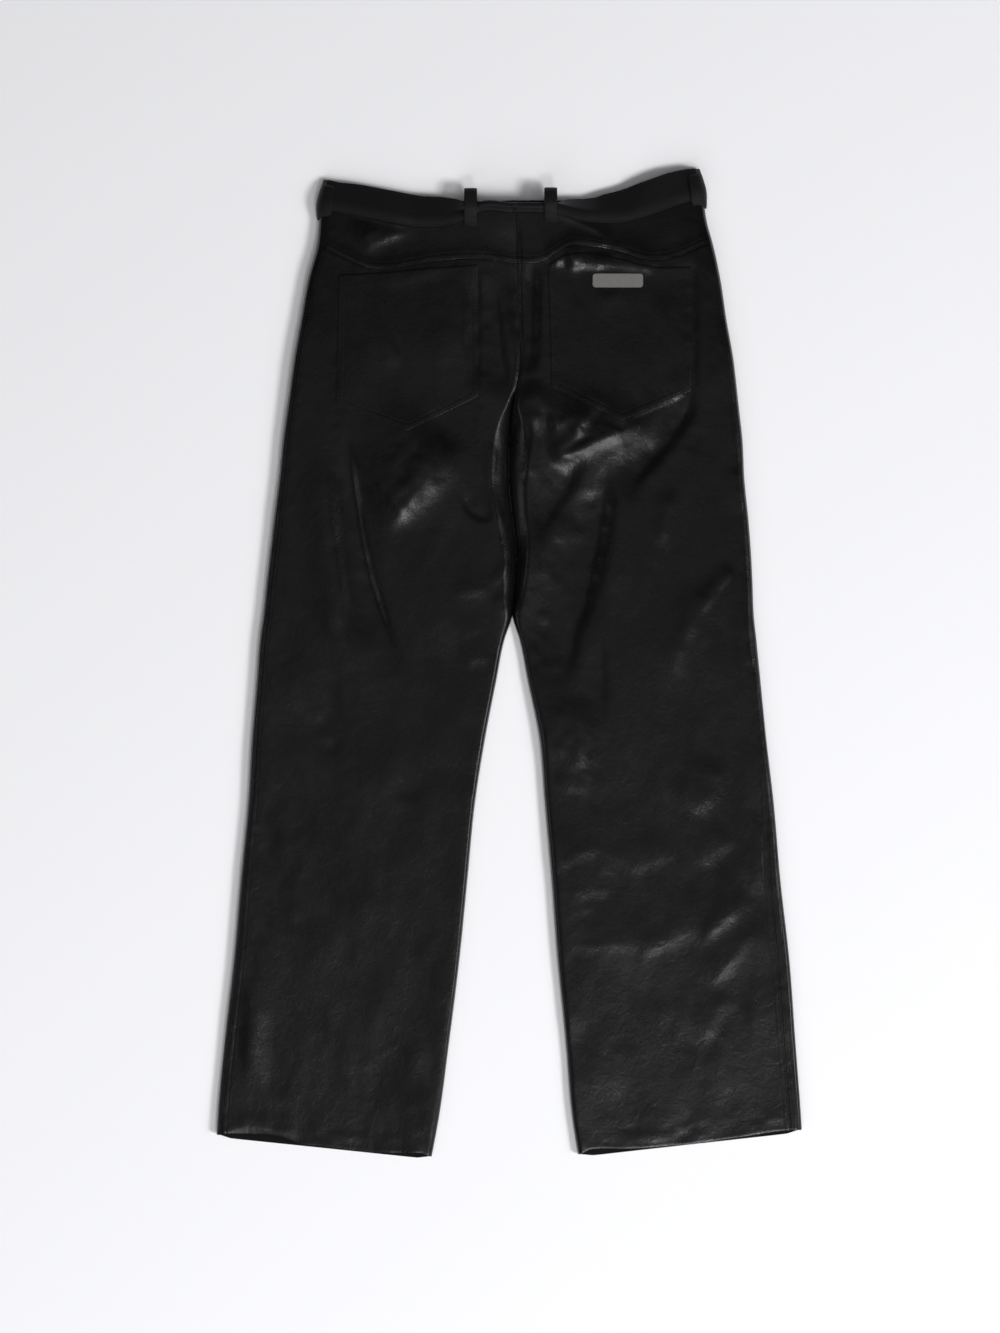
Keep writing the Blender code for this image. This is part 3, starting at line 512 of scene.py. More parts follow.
# Fine ridges of the waistband, across the lay and up from its seam
BAND_CREASES = table(
    Crease,
    (((-36, 6.5), (-12, 7.2), (6, 7.8), (24, 7), (42, 7.5)), 0.8, 1.7, 1.7, 0.12),
    (((-30, 1), (-18, 0.4), (-7, 1)), 0.5, 1.6, 1.6),
    (((1, 7.5), (5, 8.3), (9, 7.5)), 0.9, 2.4, 2.4),
    (((2, 3.8), (6.5, 3.4)), -1.3, 2.0, 2.0),
    (((10, 2), (24, 3), (38, 1.5)), 0.4, 2.0, 2.0),
)

FOLDS = table(
    Fold,
    # Beside the centre back
    ((-26, 432), (-28, 285), 2, 0.9, 10, 10),
    ((37, 436), (34, 316), 0, 0.9, 9, 9),
    # Under the seat
    ((70, 222), (190, 268), 6, 0.9, 16, 22),
    ((212, 292), (120, 186), -8, -1.0, 14, 22),
    ((-82, 224), (-140, 156), 4, 0.8, 20, 20),
    # Left thigh to knee
    ((-176, 232), (-126, -12), -10, -1.2, 14, 18),
    ((-200, 228), (-172, -8), -8, 1.3, 16, 16),
    ((-88, 150), (-78, 10), 4, 1.4, 20, 20),
    ((-60, 78), (-18, 74), 3, 0.6, 11, 11),
    # Right thigh to knee
    ((102, 190), (72, -4), 6, -1.4, 14, 24),
    ((68, 216), (36, 150), 3, -0.9, 12, 18),
    ((250, 104), (184, -12), -6, 1.0, 16, 20),
    ((184, 194), (168, 130), 2, 0.5, 14, 14),
    ((84, -36), (84, -112), 0, 0.6, 13, 13),
    # Left shin
    ((-242, 8), (-180, -116), -8, 1.4, 16, 18),
    ((-274, -78), (-212, -276), -10, 1.2, 16, 18),
    ((-132, -420), (-98, -476), 0, -0.7, 16, 16),
    # Right knee and shin
    ((54, -116), (106, -140), 4, 0.5, 14, 14),
    ((50, -220), (194, -206), 6, 0.6, 15, 20),
    ((90, -310), (194, -292), -5, 0.6, 15, 20),
    ((212, -306), (262, -250), 3, 0.7, 15, 18),
    ((226, -352), (282, -290), 3, 0.6, 15, 18),
    ((208, -420), (242, -360), 3, 0.5, 15, 18),
)

CREASES = table(
    Crease,
    # Yokes
    (((-166, 451.5), (-152, 463), (-135.5, 471), (-117.5, 475.5), (-102, 479)), 2.48, 24, 8),
    (((-166, 465.5), (-142, 480)), 0.63, 15, 5),
    (((-61, 455.5), (-18, 453)), 0.35, 12, 4),
    (((43.5, 499.5), (65.5, 490), (94.5, 477.5), (116.5, 465.5)), 0.97, 13.5, 4.5, 0.2),
    (
        ((-192.5, 503), (-175, 496), (-151, 489.5), (-124.5, 483), (-102.5, 478.5)),
        0.7, 7.8, 2.6, 0.2,
    ),
    (((56.5, 473), (89.5, 466.5), (124, 462), (154.5, 462)), 1.33, 12, 7),
    # Pocket hems
    (((43, 440.5), (57, 446), (70.5, 446), (83, 443)), 2.26, 21, 7, 0.25),
    (((59, 438), (77, 442), (91.5, 442), (107.5, 438)), 2.63, 22.5, 7.5, 0.25),
    (((95.5, 442), (119.5, 440.5), (140, 438.5), (164, 434)), 2.1, 19.5, 6.5, 0.25),
    (((-151, 425), (-126.5, 423), (-102, 428.5), (-77.5, 435), (-53, 438.5)), 1.1, 24, 8),
    # Pockets
    (((82, 391), (107.5, 403.5), (145, 411.5)), 1.39, 42, 14),
    (((-53.5, 444), (-54.5, 402.5), (-56, 347.5), (-58, 292.5)), 2.73, 13, 39, 0.45),
    (((-141.5, 332.5), (-118.5, 343.5)), 0.73, 24, 8),
    # Centre back
    (((-20.5, 428.5), (-15, 374.5), (-9.5, 327), (-6, 294)), -2.3, 7, 31.5, 0.25),
    (((8, 491), (9, 415.5), (11, 380), (14, 340.5)), -2, 3, 21, 0.33),
    (((23.5, 444), (23, 380), (20.5, 318.5)), -2.9, 9, 12.6, 0.2),
    (((-36, 437.5), (-35, 369), (-35, 300)), -1, 2.5, 12.5, 0.15),
    (((198.5, 444), (199.5, 380), (199.5, 301)), -1.8, 7, 28, 0.2),
    # Beside the crotch
    (((23.5, 315), (28.5, 291), (30.5, 270), (29, 248.5)), 3.81, 8, 22, 0.4),
    (((36.5, 267), (51, 270.5), (67.5, 266.5), (84.5, 255)), 3.79, 30, 10, 0.25),
    (((77, 264.5), (90.5, 271)), 0.75, 15, 5),
    # Under the right pocket
    (((102, 271), (113, 264.5), (121.5, 261), (130.5, 263.5)), -0.9, 6, 3),
    (((49, 231.5), (64.5, 238), (80, 247), (97.5, 253.5)), -1, 3.6, 3),
    (((40, 227.5), (55, 232), (72, 238), (91.5, 248), (114, 258), (145, 269)), 4.38, 32, 12, 0.2),
    (((99.5, 229), (128, 242), (153.5, 256), (173.5, 268)), 1.76, 26, 15),
    (((203, 325), (195.5, 287.5), (180, 257), (154.5, 226), (141.5, 212), (129, 180)), -3.2, 7.5, 24),
    (((208.5, 261), (198.5, 231.5)), -0.7, 6, 12),
    (((130.5, 271.5), (161.5, 284.5), (193.5, 299.5)), 0.71, 8, 2.2, 0.15),
    # Right thigh
    (((179, 196), (172.5, 160.5), (163.5, 128)), 1.17, 4.5, 13.5),
    (((248, 110), (231.5, 90), (217, 69.5), (207.5, 56)), 1.51, 4, 12, 0.3),
    (((220, 78.5), (201, 55.5), (189.5, 30.5), (175, -9.5)), 1.58, 9, 27),
    (((248, 221.5), (252.5, 164)), 0.96, 5, 15),
    (((252.5, 74), (259, 27.5), (264.5, -12)), 1.1, 4.5, 13.5),
    (
        ((81, 235), (73, 217.5), (62, 197.5), (47, 176.5), (34.5, 153.5), (25, 122.5)),
        -3.2, 8, 28.8, 0.3,
    ),
    (
        (
            (104, 230.5), (103, 204), (99.5, 177.5), (93, 144.5), (84, 110.5), (75.5, 76.5),
            (66.5, 48), (60, 17), (53.5, -38),
        ),
        -6.2, 13, 46.8, 0.27,
    ),
    (((97.5, 39), (99.5, -16), (98.5, -76.5)), -1.3, 7, 28),
    # Rims of the valley between the legs
    (((20, 274), (25.5, 259.5), (25.5, 243.5), (21.5, 223.5), (14.5, 203.5)), 1.37, 9, 3, 0.2),
    (((16, 182.5), (21.5, 149.5), (21.5, 110.5), (16, 71.5)), 1.3, 15, 5),
    (((-21, 247.5), (-16.5, 228), (-19, 200.5), (-13.5, 173), (-3.5, 142)), 0.9, 2.6, 7.8, 0.2),
    (((1, 117), (-8, 100.5), (-21, 84.5)), 0.7, 3, 9),
    (((-18, 78.5), (-10.5, 64.5), (1.5, 51.5)), 0.9, 10.5, 3.5),
    # Left thigh
    (((-66, 80.5), (-41.5, 83.5), (-17.5, 85)), 0.98, 18, 6),
    (((-49, 193), (-45.5, 174.5), (-34.5, 164.5), (-15, 161)), -1.5, 7, 3.5),
    (((-58, 31.5), (-42.5, 38), (-23.5, 43.5)), 0.56, 15, 5),
    (((-53.5, 4), (-35.5, 8.5), (-18, 12)), 1.06, 21, 7),
    (((-53.5, 249), (-73, 227.5), (-94, 204.5), (-115, 183), (-149, 155)), 5.61, 19, 56, 0.3),
    (
        (
            (-181, 261), (-175.5, 220.5), (-171, 182), (-164.5, 138), (-155.5, 96.5), (-142.5, 55.5),
            (-124, 4),
        ),
        -2.3, 5.5, 27.5, 0.25,
    ),
    (((-208, 252), (-201.5, 170.5), (-189.5, 104.5), (-183, -20.5)), 1.65, 9, 27),
    # Left knee and shin
    (((-235, -16), (-213, -64.5), (-181, -95), (-138, -117)), -1.9, 40, 20, 0.45),
    (((-272, -99.5), (-261, -176.5), (-247, -231.5), (-228.5, -300)), -2, 40, 20, 0.45),
    (((-244, -262.5), (-238.5, -272.5), (-233, -283.5)), 0.41, 9, 3),
    (((-133.5, -139), (-114, -138), (-94, -141.5)), -0.7, 16, 8),
    (((-272, -465), (-257, -462.5), (-241.5, -467)), -0.9, 18, 9),
    (((-283.5, -340.5), (-282.5, -390), (-286, -461.5)), 1.59, 14, 9),
    (
        ((-326, -515.5), (-306, -509), (-285.5, -505.5), (-256.5, -510), (-225.5, -520)),
        1.03, 12, 3.2, 0.2,
    ),
    (((-151, -533), (-120.5, -535.5), (-89.5, -538.5)), 0.73, 12, 3, 0.2),
    # Right knee
    (((71, -30), (74.5, -71.5), (76.5, -117.5)), 2.94, 14, 42),
    (((56, -109.5), (72, -111), (84.5, -118), (98.5, -123)), 0.56, 13.5, 4.5),
    (((54, -137.5), (69.5, -131.5), (87.5, -136)), 0.67, 18, 6),
    (((39, -231.5), (52, -216.5), (70.5, -204), (93.5, -198), (118, -201.5)), 1.17, 30, 10),
    (((119, -230), (148, -215.5), (185.5, -201)), 0.69, 24, 8),
    (((201.5, -220), (223, -203.5), (247, -183)), 1.27, 27, 9),
    (((205.5, -171.5), (216.5, -139.5), (229.5, -97)), 1.73, 39, 13),
    (((269, -157), (272, -203), (276.5, -258)), 1.22, 5, 15),
    # Right shin
    (((60.5, -250), (88, -244.5), (121.5, -243.5)), 0.87, 30, 10),
    (((49.5, -278.5), (74, -268.5), (98, -258.5)), 0.55, 18, 6),
    (((48.5, -309), (88, -304.5), (122, -303.5), (157.5, -306.5)), 0.78, 27, 9, 0.4),
    (((136.5, -317), (158.5, -307.5), (176, -298.5), (204.5, -284)), 1.01, 27, 9, 0.4),
    (((200.5, -311), (218, -290), (234, -276.5), (265, -250)), 1.73, 26, 9, 0.4),
    (((207, -364.5), (227, -338), (245.5, -315), (273, -277.5)), 1.06, 25.5, 8.5),
    (((202, -419), (221, -384), (239.5, -346.5)), 1.1, 36, 12),
)


class Half:
    """One half of the garment as a skin of points."""

    def __init__(
        self,
        side: int,
        sections: Sequence[Section],
        pocket_lines: Sequence[PocketLine],
        row_guides: dict[str, Sequence[tuple[float, float]]],
        lifts: Sequence[Lift],
    ) -> None:
        """Takes one half's tables and works out its skin.

        Args:
            side: -1 for the left half and 1 for the right one.
            sections: its outline.
            pocket_lines: its back pocket's sides.
            row_guides: the lines across it that its rows follow.
            lifts: how high its front waistband lies.
        """
        self.side = side
        self.inner = column(sections, "y", "inner")
        self.outer = column(sections, "y", "outer")
        self.seam = column(sections, "y", "seam")
        self.pocket_inner = column(pocket_lines, "y", "inner", smooth=False)
        self.pocket_outer = column(pocket_lines, "y", "outer", smooth=False)
        self.rows = {name: curve_through(row_guides[name], name in ROUND_GUIDES) for name in ROW_ORDER}
        self.lift = column(lifts, "x", "rise")
        self.back_columns = sum(GUIDE_COLUMNS)
        back = self.back_points()
        front = self.front_points(back)
        self.points = np.concatenate([back, front[:, 1:]], axis=1)
        self.normals = self.normals_of(self.points)

    def pucker(self, x: Array, y: Array) -> Array:
        """How the sewing draws the leather up beside the seams."""
        yoke = YOKE_PUCKER.share(y - self.rows["yoke_seam"](x))
        hem = HEM_PUCKER.share(y - self.rows["hem"](x))
        sides = SIDE_PUCKER.share(np.abs(x - self.outer(y)))
        pocket = sum(POCKET_PUCKER.share(x - line(y)) for line in (self.pocket_inner, self.pocket_outer))
        pocket_y = ease(y, *POCKET_PUCKER_FOOT_Y) * (1 - ease(y, *POCKET_PUCKER_TOP_Y))
        fine = FINE_SWELL.relief(x, y)
        return (
            YOKE_PUCKER.rise * yoke * fine
            + HEM_PUCKER.rise * hem * HEM_SWELL.relief(x, y)
            + SIDE_PUCKER.rise * sides * fine
            + POCKET_PUCKER.rise * pocket * pocket_y * fine
        )

    def relief(self, x: Array, y: Array) -> Array:
        """The height of all swells, folds and creases at places of the lay."""
        total = np.zeros_like(x)
        for form in SWELLS + FOLDS + CREASES:
            total = total + form.relief(x, y)
        return total + self.pucker(x, y)

    def lay(self, x: Array, y: Array) -> Array:
        """The height of the lay before its edges are rounded: a parabola across it, with its relief."""
        across = np.clip((x - self.inner(y)) / (self.outer(y) - self.inner(y)), 0, 1)
        near, mid, far = (column(HEIGHTS, "y", name)(y) for name in ("inner", "middle", "outer"))
        level = near + (4 * mid - 3 * near - far) * across + 2 * (near + far - 2 * mid) * across**2
        above = level + self.relief(x, y) - LEAST_LAY
        return LEAST_LAY + (above + np.sqrt(above**2 + LEAST_LAY_BLEND**2)) / 2

    def edge_share(self, x: Array, y: Array) -> Array:
        """How much of the lay's height stands at a place, from 0 at a folded edge to 1 inside."""
        outer_round = column(HEIGHTS, "y", "outer_round")(y)
        inner_round = column(HEIGHTS, "y", "inner_round")(y)
        out = round_over(np.abs(self.outer(y) - x), outer_round, FOLD_POWER)
        valley = np.maximum(1 - ease(y, *VALLEY_FADE_Y), CENTRE_GROOVE)
        power = FOLD_POWER + (VALLEY_POWER - FOLD_POWER) * ease(y, *VALLEY_POWER_Y)
        inward = 1 - valley * (1 - round_over(np.abs(x - self.inner(y)), inner_round, power))
        return out * inward

    def top(self, x: Array, y: Array) -> Array:
        """The height of the upper surface."""
        return EDGE_HEIGHT + (self.lay(x, y) - EDGE_HEIGHT) * self.edge_share(x, y)

    def surface(self, x: Array, y: Array, lift: float) -> tuple[Array, Array]:
        """Places on the upper surface, moved out.

        Args:
            x: places across the lay.
            y: places along it.
            lift: how far they are moved out from the skin.

        Returns:
            The points and their normals.
        """
        x, y = np.asarray(x, float), np.asarray(y, float)
        step = 1.0
        slope_x = (self.top(x + step, y) - self.top(x - step, y)) / (2 * step)
        slope_y = (self.top(x, y + step) - self.top(x, y - step)) / (2 * step)
        normals = unit(np.stack([-slope_x, -slope_y, np.ones_like(x)], axis=-1))
        return np.stack([x, y, self.top(x, y)], axis=-1) + normals * lift, normals

    def front_inner(self, y: Array) -> Array:
        """The centre front above the crotch and the inseam below it."""
        x_top, y_top = CENTRE_FRONT_TOP
        f = np.clip((y - CROTCH_Y) / (y_top - CROTCH_Y), 0, 1)
        centre = self.inner(CROTCH_Y) + (x_top - self.inner(CROTCH_Y)) * f
        return np.where(y > CROTCH_Y, centre, self.inner(y))

    def waist_lift(self, x: Array, y: Array, seam_y: Array) -> Array:
        """How far the front stands off the surface near the waist, over what lies below it."""
        rise = self.lift(x) * ease(y, seam_y - LIFT_REACH, seam_y - LIFT_TOP)
        if self.side < 0:
            near = 1 - ease(np.abs(x - self.front_inner(y)), *PLACKET_FADE)
            above = ease(y, PLACKET_FOOT_Y - PLACKET_RAMP, PLACKET_FOOT_Y)
            rise = np.maximum(rise, PLACKET_LIFT * near * above)
        return rise

    def bottom(self, x: Array, y: Array, seam_y: Array) -> Array:
        """The height of the lower surface."""
        out = EDGE_HEIGHT * (1 - round_over(np.abs(self.outer(y) - x), UNDER_ROUND))
        rise = 1 - ease(y, CROTCH_Y, FRONT_RISE_TOP_Y)
        inward = EDGE_HEIGHT * (1 - round_over(np.abs(x - self.front_inner(y)), UNDER_ROUND)) * rise
        return np.maximum(out + inward, self.waist_lift(x, y, seam_y))

    def back_points(self) -> Array:
        """The points over the back, where the row guides and the column guides cross."""
        shares = [np.linspace(0, 1, n + 1)[:-1] for n in GUIDE_COLUMNS]
        shares[0] = shares[0] ** INNER_CROWDING
        shares[2] = 1 - (1 - shares[2]) ** OUTER_CROWDING
        column_at = np.concatenate([share + k for k, share in enumerate(shares)] + [[len(shares)]])
        steps = [np.arange(n) / n for n in GUIDE_ROWS]
        steps[0] = steps[0] - WAIST_CROWDING * np.sin(2 * math.pi * steps[0])
        row_at = np.concatenate([step + k for k, step in enumerate(steps)] + [[len(steps)]])
        row_at, column_at = np.meshgrid(row_at, column_at, indexing="ij")
        y = 500 - 1000 * row_at / len(steps)
        for _ in range(SETTLING_ROUNDS):
            x = self.between(self.column_guides(y), column_at)
            y = self.between([guide(x) for guide in self.rows.values()], row_at)
        return np.stack([x, y, self.top(x, y)], axis=-1)

    def column_guides(self, y: Array) -> list[Array]:
        """The column guides' places at each level."""
        seam = self.outer(y) - self.side * self.seam(y)
        return [self.inner(y), self.pocket_inner(y), self.pocket_outer(y), seam]

    @staticmethod
    def between(guides: Sequence[Array], place: Array) -> Array:
        """Values between neighbouring guides.

        Args:
            guides: each guide's value at every point.
            place: each point's place, counted in guides.

        Returns:
            The value at every point.
        """
        stacked = np.stack(guides)
        low = np.clip(np.floor(place).astype(int), 0, len(stacked) - 2)
        start = np.take_along_axis(stacked, low[None], 0)[0]
        end = np.take_along_axis(stacked, low[None] + 1, 0)[0]
        return start + (end - start) * (place - low)

    def front_points(self, back: Array) -> Array:
        """The points from the side seam round the outer edge and below.

        Args:
            back: the points over the back.

        Returns:
            The points as far as the centre front or inseam, the side seam's own first.
        """
        outer_y = back[:, -1, 1]
        inner_y = back[:, 0, 1].copy()
        hips = inner_y > CROTCH_Y
        share = (CENTRE_FRONT_TOP[1] - CROTCH_Y) / (inner_y[0] - CROTCH_Y)
        inner_y[hips] = CROTCH_Y + (inner_y[hips] - CROTCH_Y) * share
        rows = np.linspace(0, FRONT_SCALE, len(outer_y))
        sag = np.maximum(1 - rows / FRONT_SAG_END, 0) * FRONT_SAG[self.side]
        hem_drop = FRONT_HEM_DROP * ease(rows, FRONT_DROP_FROM, FRONT_SCALE)
        strips = []
        for k in range(WRAP_COLUMNS + 1):
            f = 1 - k / WRAP_COLUMNS
            x = self.outer(outer_y) - self.side * self.seam(outer_y) * f * f
            strips.append(np.stack([x, outer_y, self.top(x, outer_y)], axis=-1))
        places = [("outer", share) for share in UNDER_STEPS]
        places += [("flat", share) for share in UNDER_SPLIT[1:-1]]
        places += [("inner", share) for share in reversed(UNDER_STEPS)] + [("inner", 0.0)]
        for kind, share in places:
            y = outer_y.copy()
            for _ in range(FRONT_SETTLING_ROUNDS):
                if kind == "outer":
                    x = self.outer(y) - self.side * UNDER_ROUND * share
                elif kind == "inner":
                    x = self.front_inner(y) + self.side * UNDER_ROUND * share
                else:
                    outer = self.outer(y) - self.side * UNDER_ROUND
                    inner = self.front_inner(y) + self.side * UNDER_ROUND
                    x = outer + (inner - outer) * share
                f = (self.outer(y) - x) / (self.outer(y) - self.front_inner(y))
                arch = 4 * f * (1 - f)
                y = outer_y + (inner_y - outer_y) * f - sag * arch - hem_drop * np.minimum(4 * arch, 1)
            strips.append(np.stack([x, y, self.bottom(x, y, y[0])], axis=-1))
        return np.stack(strips, axis=1)

    def normals_of(self, points: Array) -> Array:
        """Outward normals, shared at the inseam, where the first and last columns meet."""
        normals = grid_normals(points, -self.side)
        legs = points[:, 0, 1] <= CROTCH_Y + 0.01
        joined = normals[legs, 0] + normals[legs, -1]
        normals[legs, 0] = joined
        normals[legs, -1] = joined
        return unit(normals)


def join_centre(left: Half, right: Half) -> None:
    """Shares the normals of the two halves where they meet at the centre back."""
    hips = left.points[:, 0, 1] > CROTCH_Y + 0.01
    joined = unit(left.normals[hips, 0] + right.normals[hips, 0])
    left.normals[hips, 0] = joined
    right.normals[hips, 0] = joined


def grid_normals(points: Array, turn: int) -> Array:
    """The sum of the face normals round each point of a grid; turn is 1 or -1 for its handedness."""
    down = points[1:] - points[:-1]
    over = points[:, 1:] - points[:, :-1]
    faces = turn * np.cross(over[:-1] + over[1:], down[:, :-1] + down[:, 1:])
    normals = np.zeros_like(points)
    for rows in (slice(0, -1), slice(1, None)):
        for columns in (slice(0, -1), slice(1, None)):
            normals[rows, columns] += faces
    return normals


class Side(Enum):
    """A border of a stretch of skin."""

    FIRST_ROW = "first_row"
    LAST_ROW = "last_row"
    FIRST_COLUMN = "first_column"
    LAST_COLUMN = "last_column"


ALL_SIDES = tuple(Side)
UPPER_SIDES = (Side.FIRST_ROW, Side.FIRST_COLUMN, Side.LAST_COLUMN)


def part_seams(points: Array, gap: float, sides: Sequence[Side]) -> Array:
    """Draws borders in along the surface, so that a seam lies between neighbours.

    Args:
        points: a stretch of skin.
        gap: the seam's width.
        sides: the borders that are drawn in by half of it.

    Returns:
        The stretch with those borders drawn in.
    """
    placed = points.copy()

    def draw(border: tuple, before: tuple) -> None:
        inward = points[before] - points[border]
        room = np.linalg.norm(inward, axis=-1, keepdims=True)
        placed[border] += unit(inward) * np.minimum(gap / 2, room * MOST_DRAWN_IN)

    if Side.FIRST_ROW in sides:
        draw((0,), (1,))
    if Side.LAST_ROW in sides:
        draw((-1,), (-2,))
    if Side.FIRST_COLUMN in sides:
        draw((slice(None), 0), (slice(None), 1))
    if Side.LAST_COLUMN in sides:
        draw((slice(None), -1), (slice(None), -2))
    return placed


def run_from(points: Array, axis: int, end: bool) -> Array:
    """How far each point of a grid lies from one border, along the surface.

    Args:
        points: the grid.
        axis: 0 to count over the rows and 1 over the columns.
        end: whether it is counted from the last border and not from the first.

    Returns:
        The distances.
    """
    steps = np.linalg.norm(np.diff(points, axis=axis), axis=-1)
    run = np.cumsum(np.flip(steps, axis) if end else steps, axis=axis)
    run = np.insert(run, 0, 0, axis=axis)
    return np.flip(run, axis) if end else run


def from_borders(points: Array, sides: Sequence[Side]) -> Array:
    """How far each point of a grid lies from the nearest of some borders."""
    runs = {
        Side.FIRST_ROW: (0, False), Side.LAST_ROW: (0, True),
        Side.FIRST_COLUMN: (1, False), Side.LAST_COLUMN: (1, True),
    }
    found = [run_from(points, *runs[side]) for side in sides]
    return np.minimum.reduce(found) if found else np.full(points.shape[:2], SEWN_REACH)


SEWN_REACH = 40.0
EDGE_LAYER = "from_edge"
FLESH_LAYER = "flesh"


def finish_object(name: str, bm: bmesh.types.BMesh) -> bpy.types.Object:
    """Makes a closed bmesh, in the lay's millimetres, a smooth object at its place in the frame.

    Args:
        name: the object's name.
        bm: the mesh, which is freed.

    Returns:
        The object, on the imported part's body.
    """
    if bm.calc_volume(signed=True) < 0:
        bmesh.ops.reverse_faces(bm, faces=bm.faces)
    bmesh.ops.translate(bm, verts=bm.verts, vec=(-LAY_CENTRE[0], -LAY_CENTRE[1], 0))
    bmesh.ops.scale(bm, verts=bm.verts, vec=(MM, MM, MM))
    mesh = bpy.data.meshes.new(name)
    bm.to_mesh(mesh)
    bm.free()
    mesh.shade_smooth()
    mesh.set_sharp_from_angle(angle=SHARP_ANGLE)
    made = bpy.data.objects.new(name, mesh)
    bpy.context.scene.collection.objects.link(made)
    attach(made, BODY)
    return made


def shell(name: str, outside: Array, inside: Array, edges: Array) -> bpy.types.Object:
    """A piece of leather between two grids of points.

    Args:
        name: its name.
        outside: the grid of its outer face.
        inside: the grid of its inner face.
        edges: each point's distance from the piece's sewn borders.

    Returns:
        The piece.
    """
    rows, columns = outside.shape[:2]
    bm = bmesh.new()
    bm.verts.layers.int.new("place")
    bm.verts.layers.float.new(EDGE_LAYER)
    bm.verts.layers.float.new(FLESH_LAYER)
    place = bm.verts.layers.int["place"]
    from_edge, flesh = bm.verts.layers.float[EDGE_LAYER], bm.verts.layers.float[FLESH_LAYER]
    bmesh.ops.create_grid(bm, x_segments=columns - 1, y_segments=rows - 1, size=1)
    for index, vert in enumerate(bm.verts):
        vert[place] = index
    grown = bmesh.ops.extrude_face_region(bm, geom=bm.faces[:])
    through = {item for item in grown["geom"] if isinstance(item, bmesh.types.BMVert)}
    outer, inner = outside.reshape(-1, 3).tolist(), inside.reshape(-1, 3).tolist()
    distances = np.minimum(edges, SEWN_REACH).reshape(-1).tolist()
    for vert in bm.verts:
        vert.co = (inner if vert in through else outer)[vert[place]]
        vert[from_edge] = distances[vert[place]]
        vert[flesh] = float(vert in through)
    rims = [edge for edge in bm.edges if (edge.verts[0] in through) == (edge.verts[1] in through)]
    bm.normal_update()
    rims = [edge for edge in rims if edge.calc_face_angle(0) > RIM_ANGLE]
    bmesh.ops.bevel(
        bm, geom=rims, affect="EDGES", offset=RIM_ROUND, offset_type="OFFSET", segments=2, profile=0.5,
        material=-1, clamp_overlap=True,
    )
    bm.verts.layers.int.remove(bm.verts.layers.int["place"])
    return finish_object(name, bm)


def wall_piece(
    name: str,
    points: Array,
    normals: Array,
    wall: Any,
    lift: Any = 0.0,
    gap: float = SEAM_GAP,
    sides: Sequence[Side] = ALL_SIDES,
    sewn: Sequence[Side] = ALL_SIDES,
) -> bpy.types.Object:
    """A piece of leather from a stretch of skin.

    Args:
        name: its name.
        points: the stretch's points.
        normals: their normals.
        wall: its thickness, one value or one for each point.
        lift: how far it is moved out.
        gap: the width of its seams.
        sides: the borders that a seam runs along.
        sewn: the borders that stitches run beside.

    Returns:
        The piece.
    """
    edges = from_borders(points, sewn)
    points = part_seams(points, gap, sides)
    wall = np.broadcast_to(np.asarray(wall, float), points.shape[:2])[..., None]
    lift = np.broadcast_to(np.asarray(lift, float), points.shape[:2])[..., None]
    return shell(name, points + normals * lift, points + normals * (lift - wall), edges)


BELL_BASE = 2.718


class Value:
    """A shader socket whose arithmetic adds Math nodes."""

    def __init__(self, bench: "Bench", socket: bpy.types.NodeSocket) -> None:
        """Wraps an output socket of a bench's node tree."""
        self.bench = bench
        self.socket = socket

    def math(self, operation: str, *others: Any, first: Any = None) -> "Value":
        """One Math node on this value.

        Args:
            operation: the node's operation.
            others: the values that follow this one.
            first: a value that comes before it.

        Returns:
            The node's result.
        """
        values = ([] if first is None else [first]) + [self, *others]
        node = self.bench.node("ShaderNodeMath", {"operation": operation}, dict(enumerate(values)))
        return Value(self.bench, node.outputs[0])

    def __add__(self, other: Any) -> "Value":
        """The sum."""
        return self.math("ADD", other)

    def __mul__(self, other: Any) -> "Value":
        """The product."""
        return self.math("MULTIPLY", other)

    def __sub__(self, other: Any) -> "Value":
        """The difference."""
        return self.math("SUBTRACT", other)

    def __rsub__(self, other: Any) -> "Value":
        """The difference, this value last."""
        return self.math("SUBTRACT", first=other)

    def __truediv__(self, other: Any) -> "Value":
        """The quotient."""
        return self.math("DIVIDE", other)

    def __rpow__(self, other: Any) -> "Value":
        """A number to the power of this value."""
        return self.math("POWER", first=other)

    def bell(self, centre: float, width: float) -> "Value":
        """1 where this value is at the centre, and falling off over the width on both sides."""
        across = (self - centre) / width
        return BELL_BASE ** (across * across * -1)


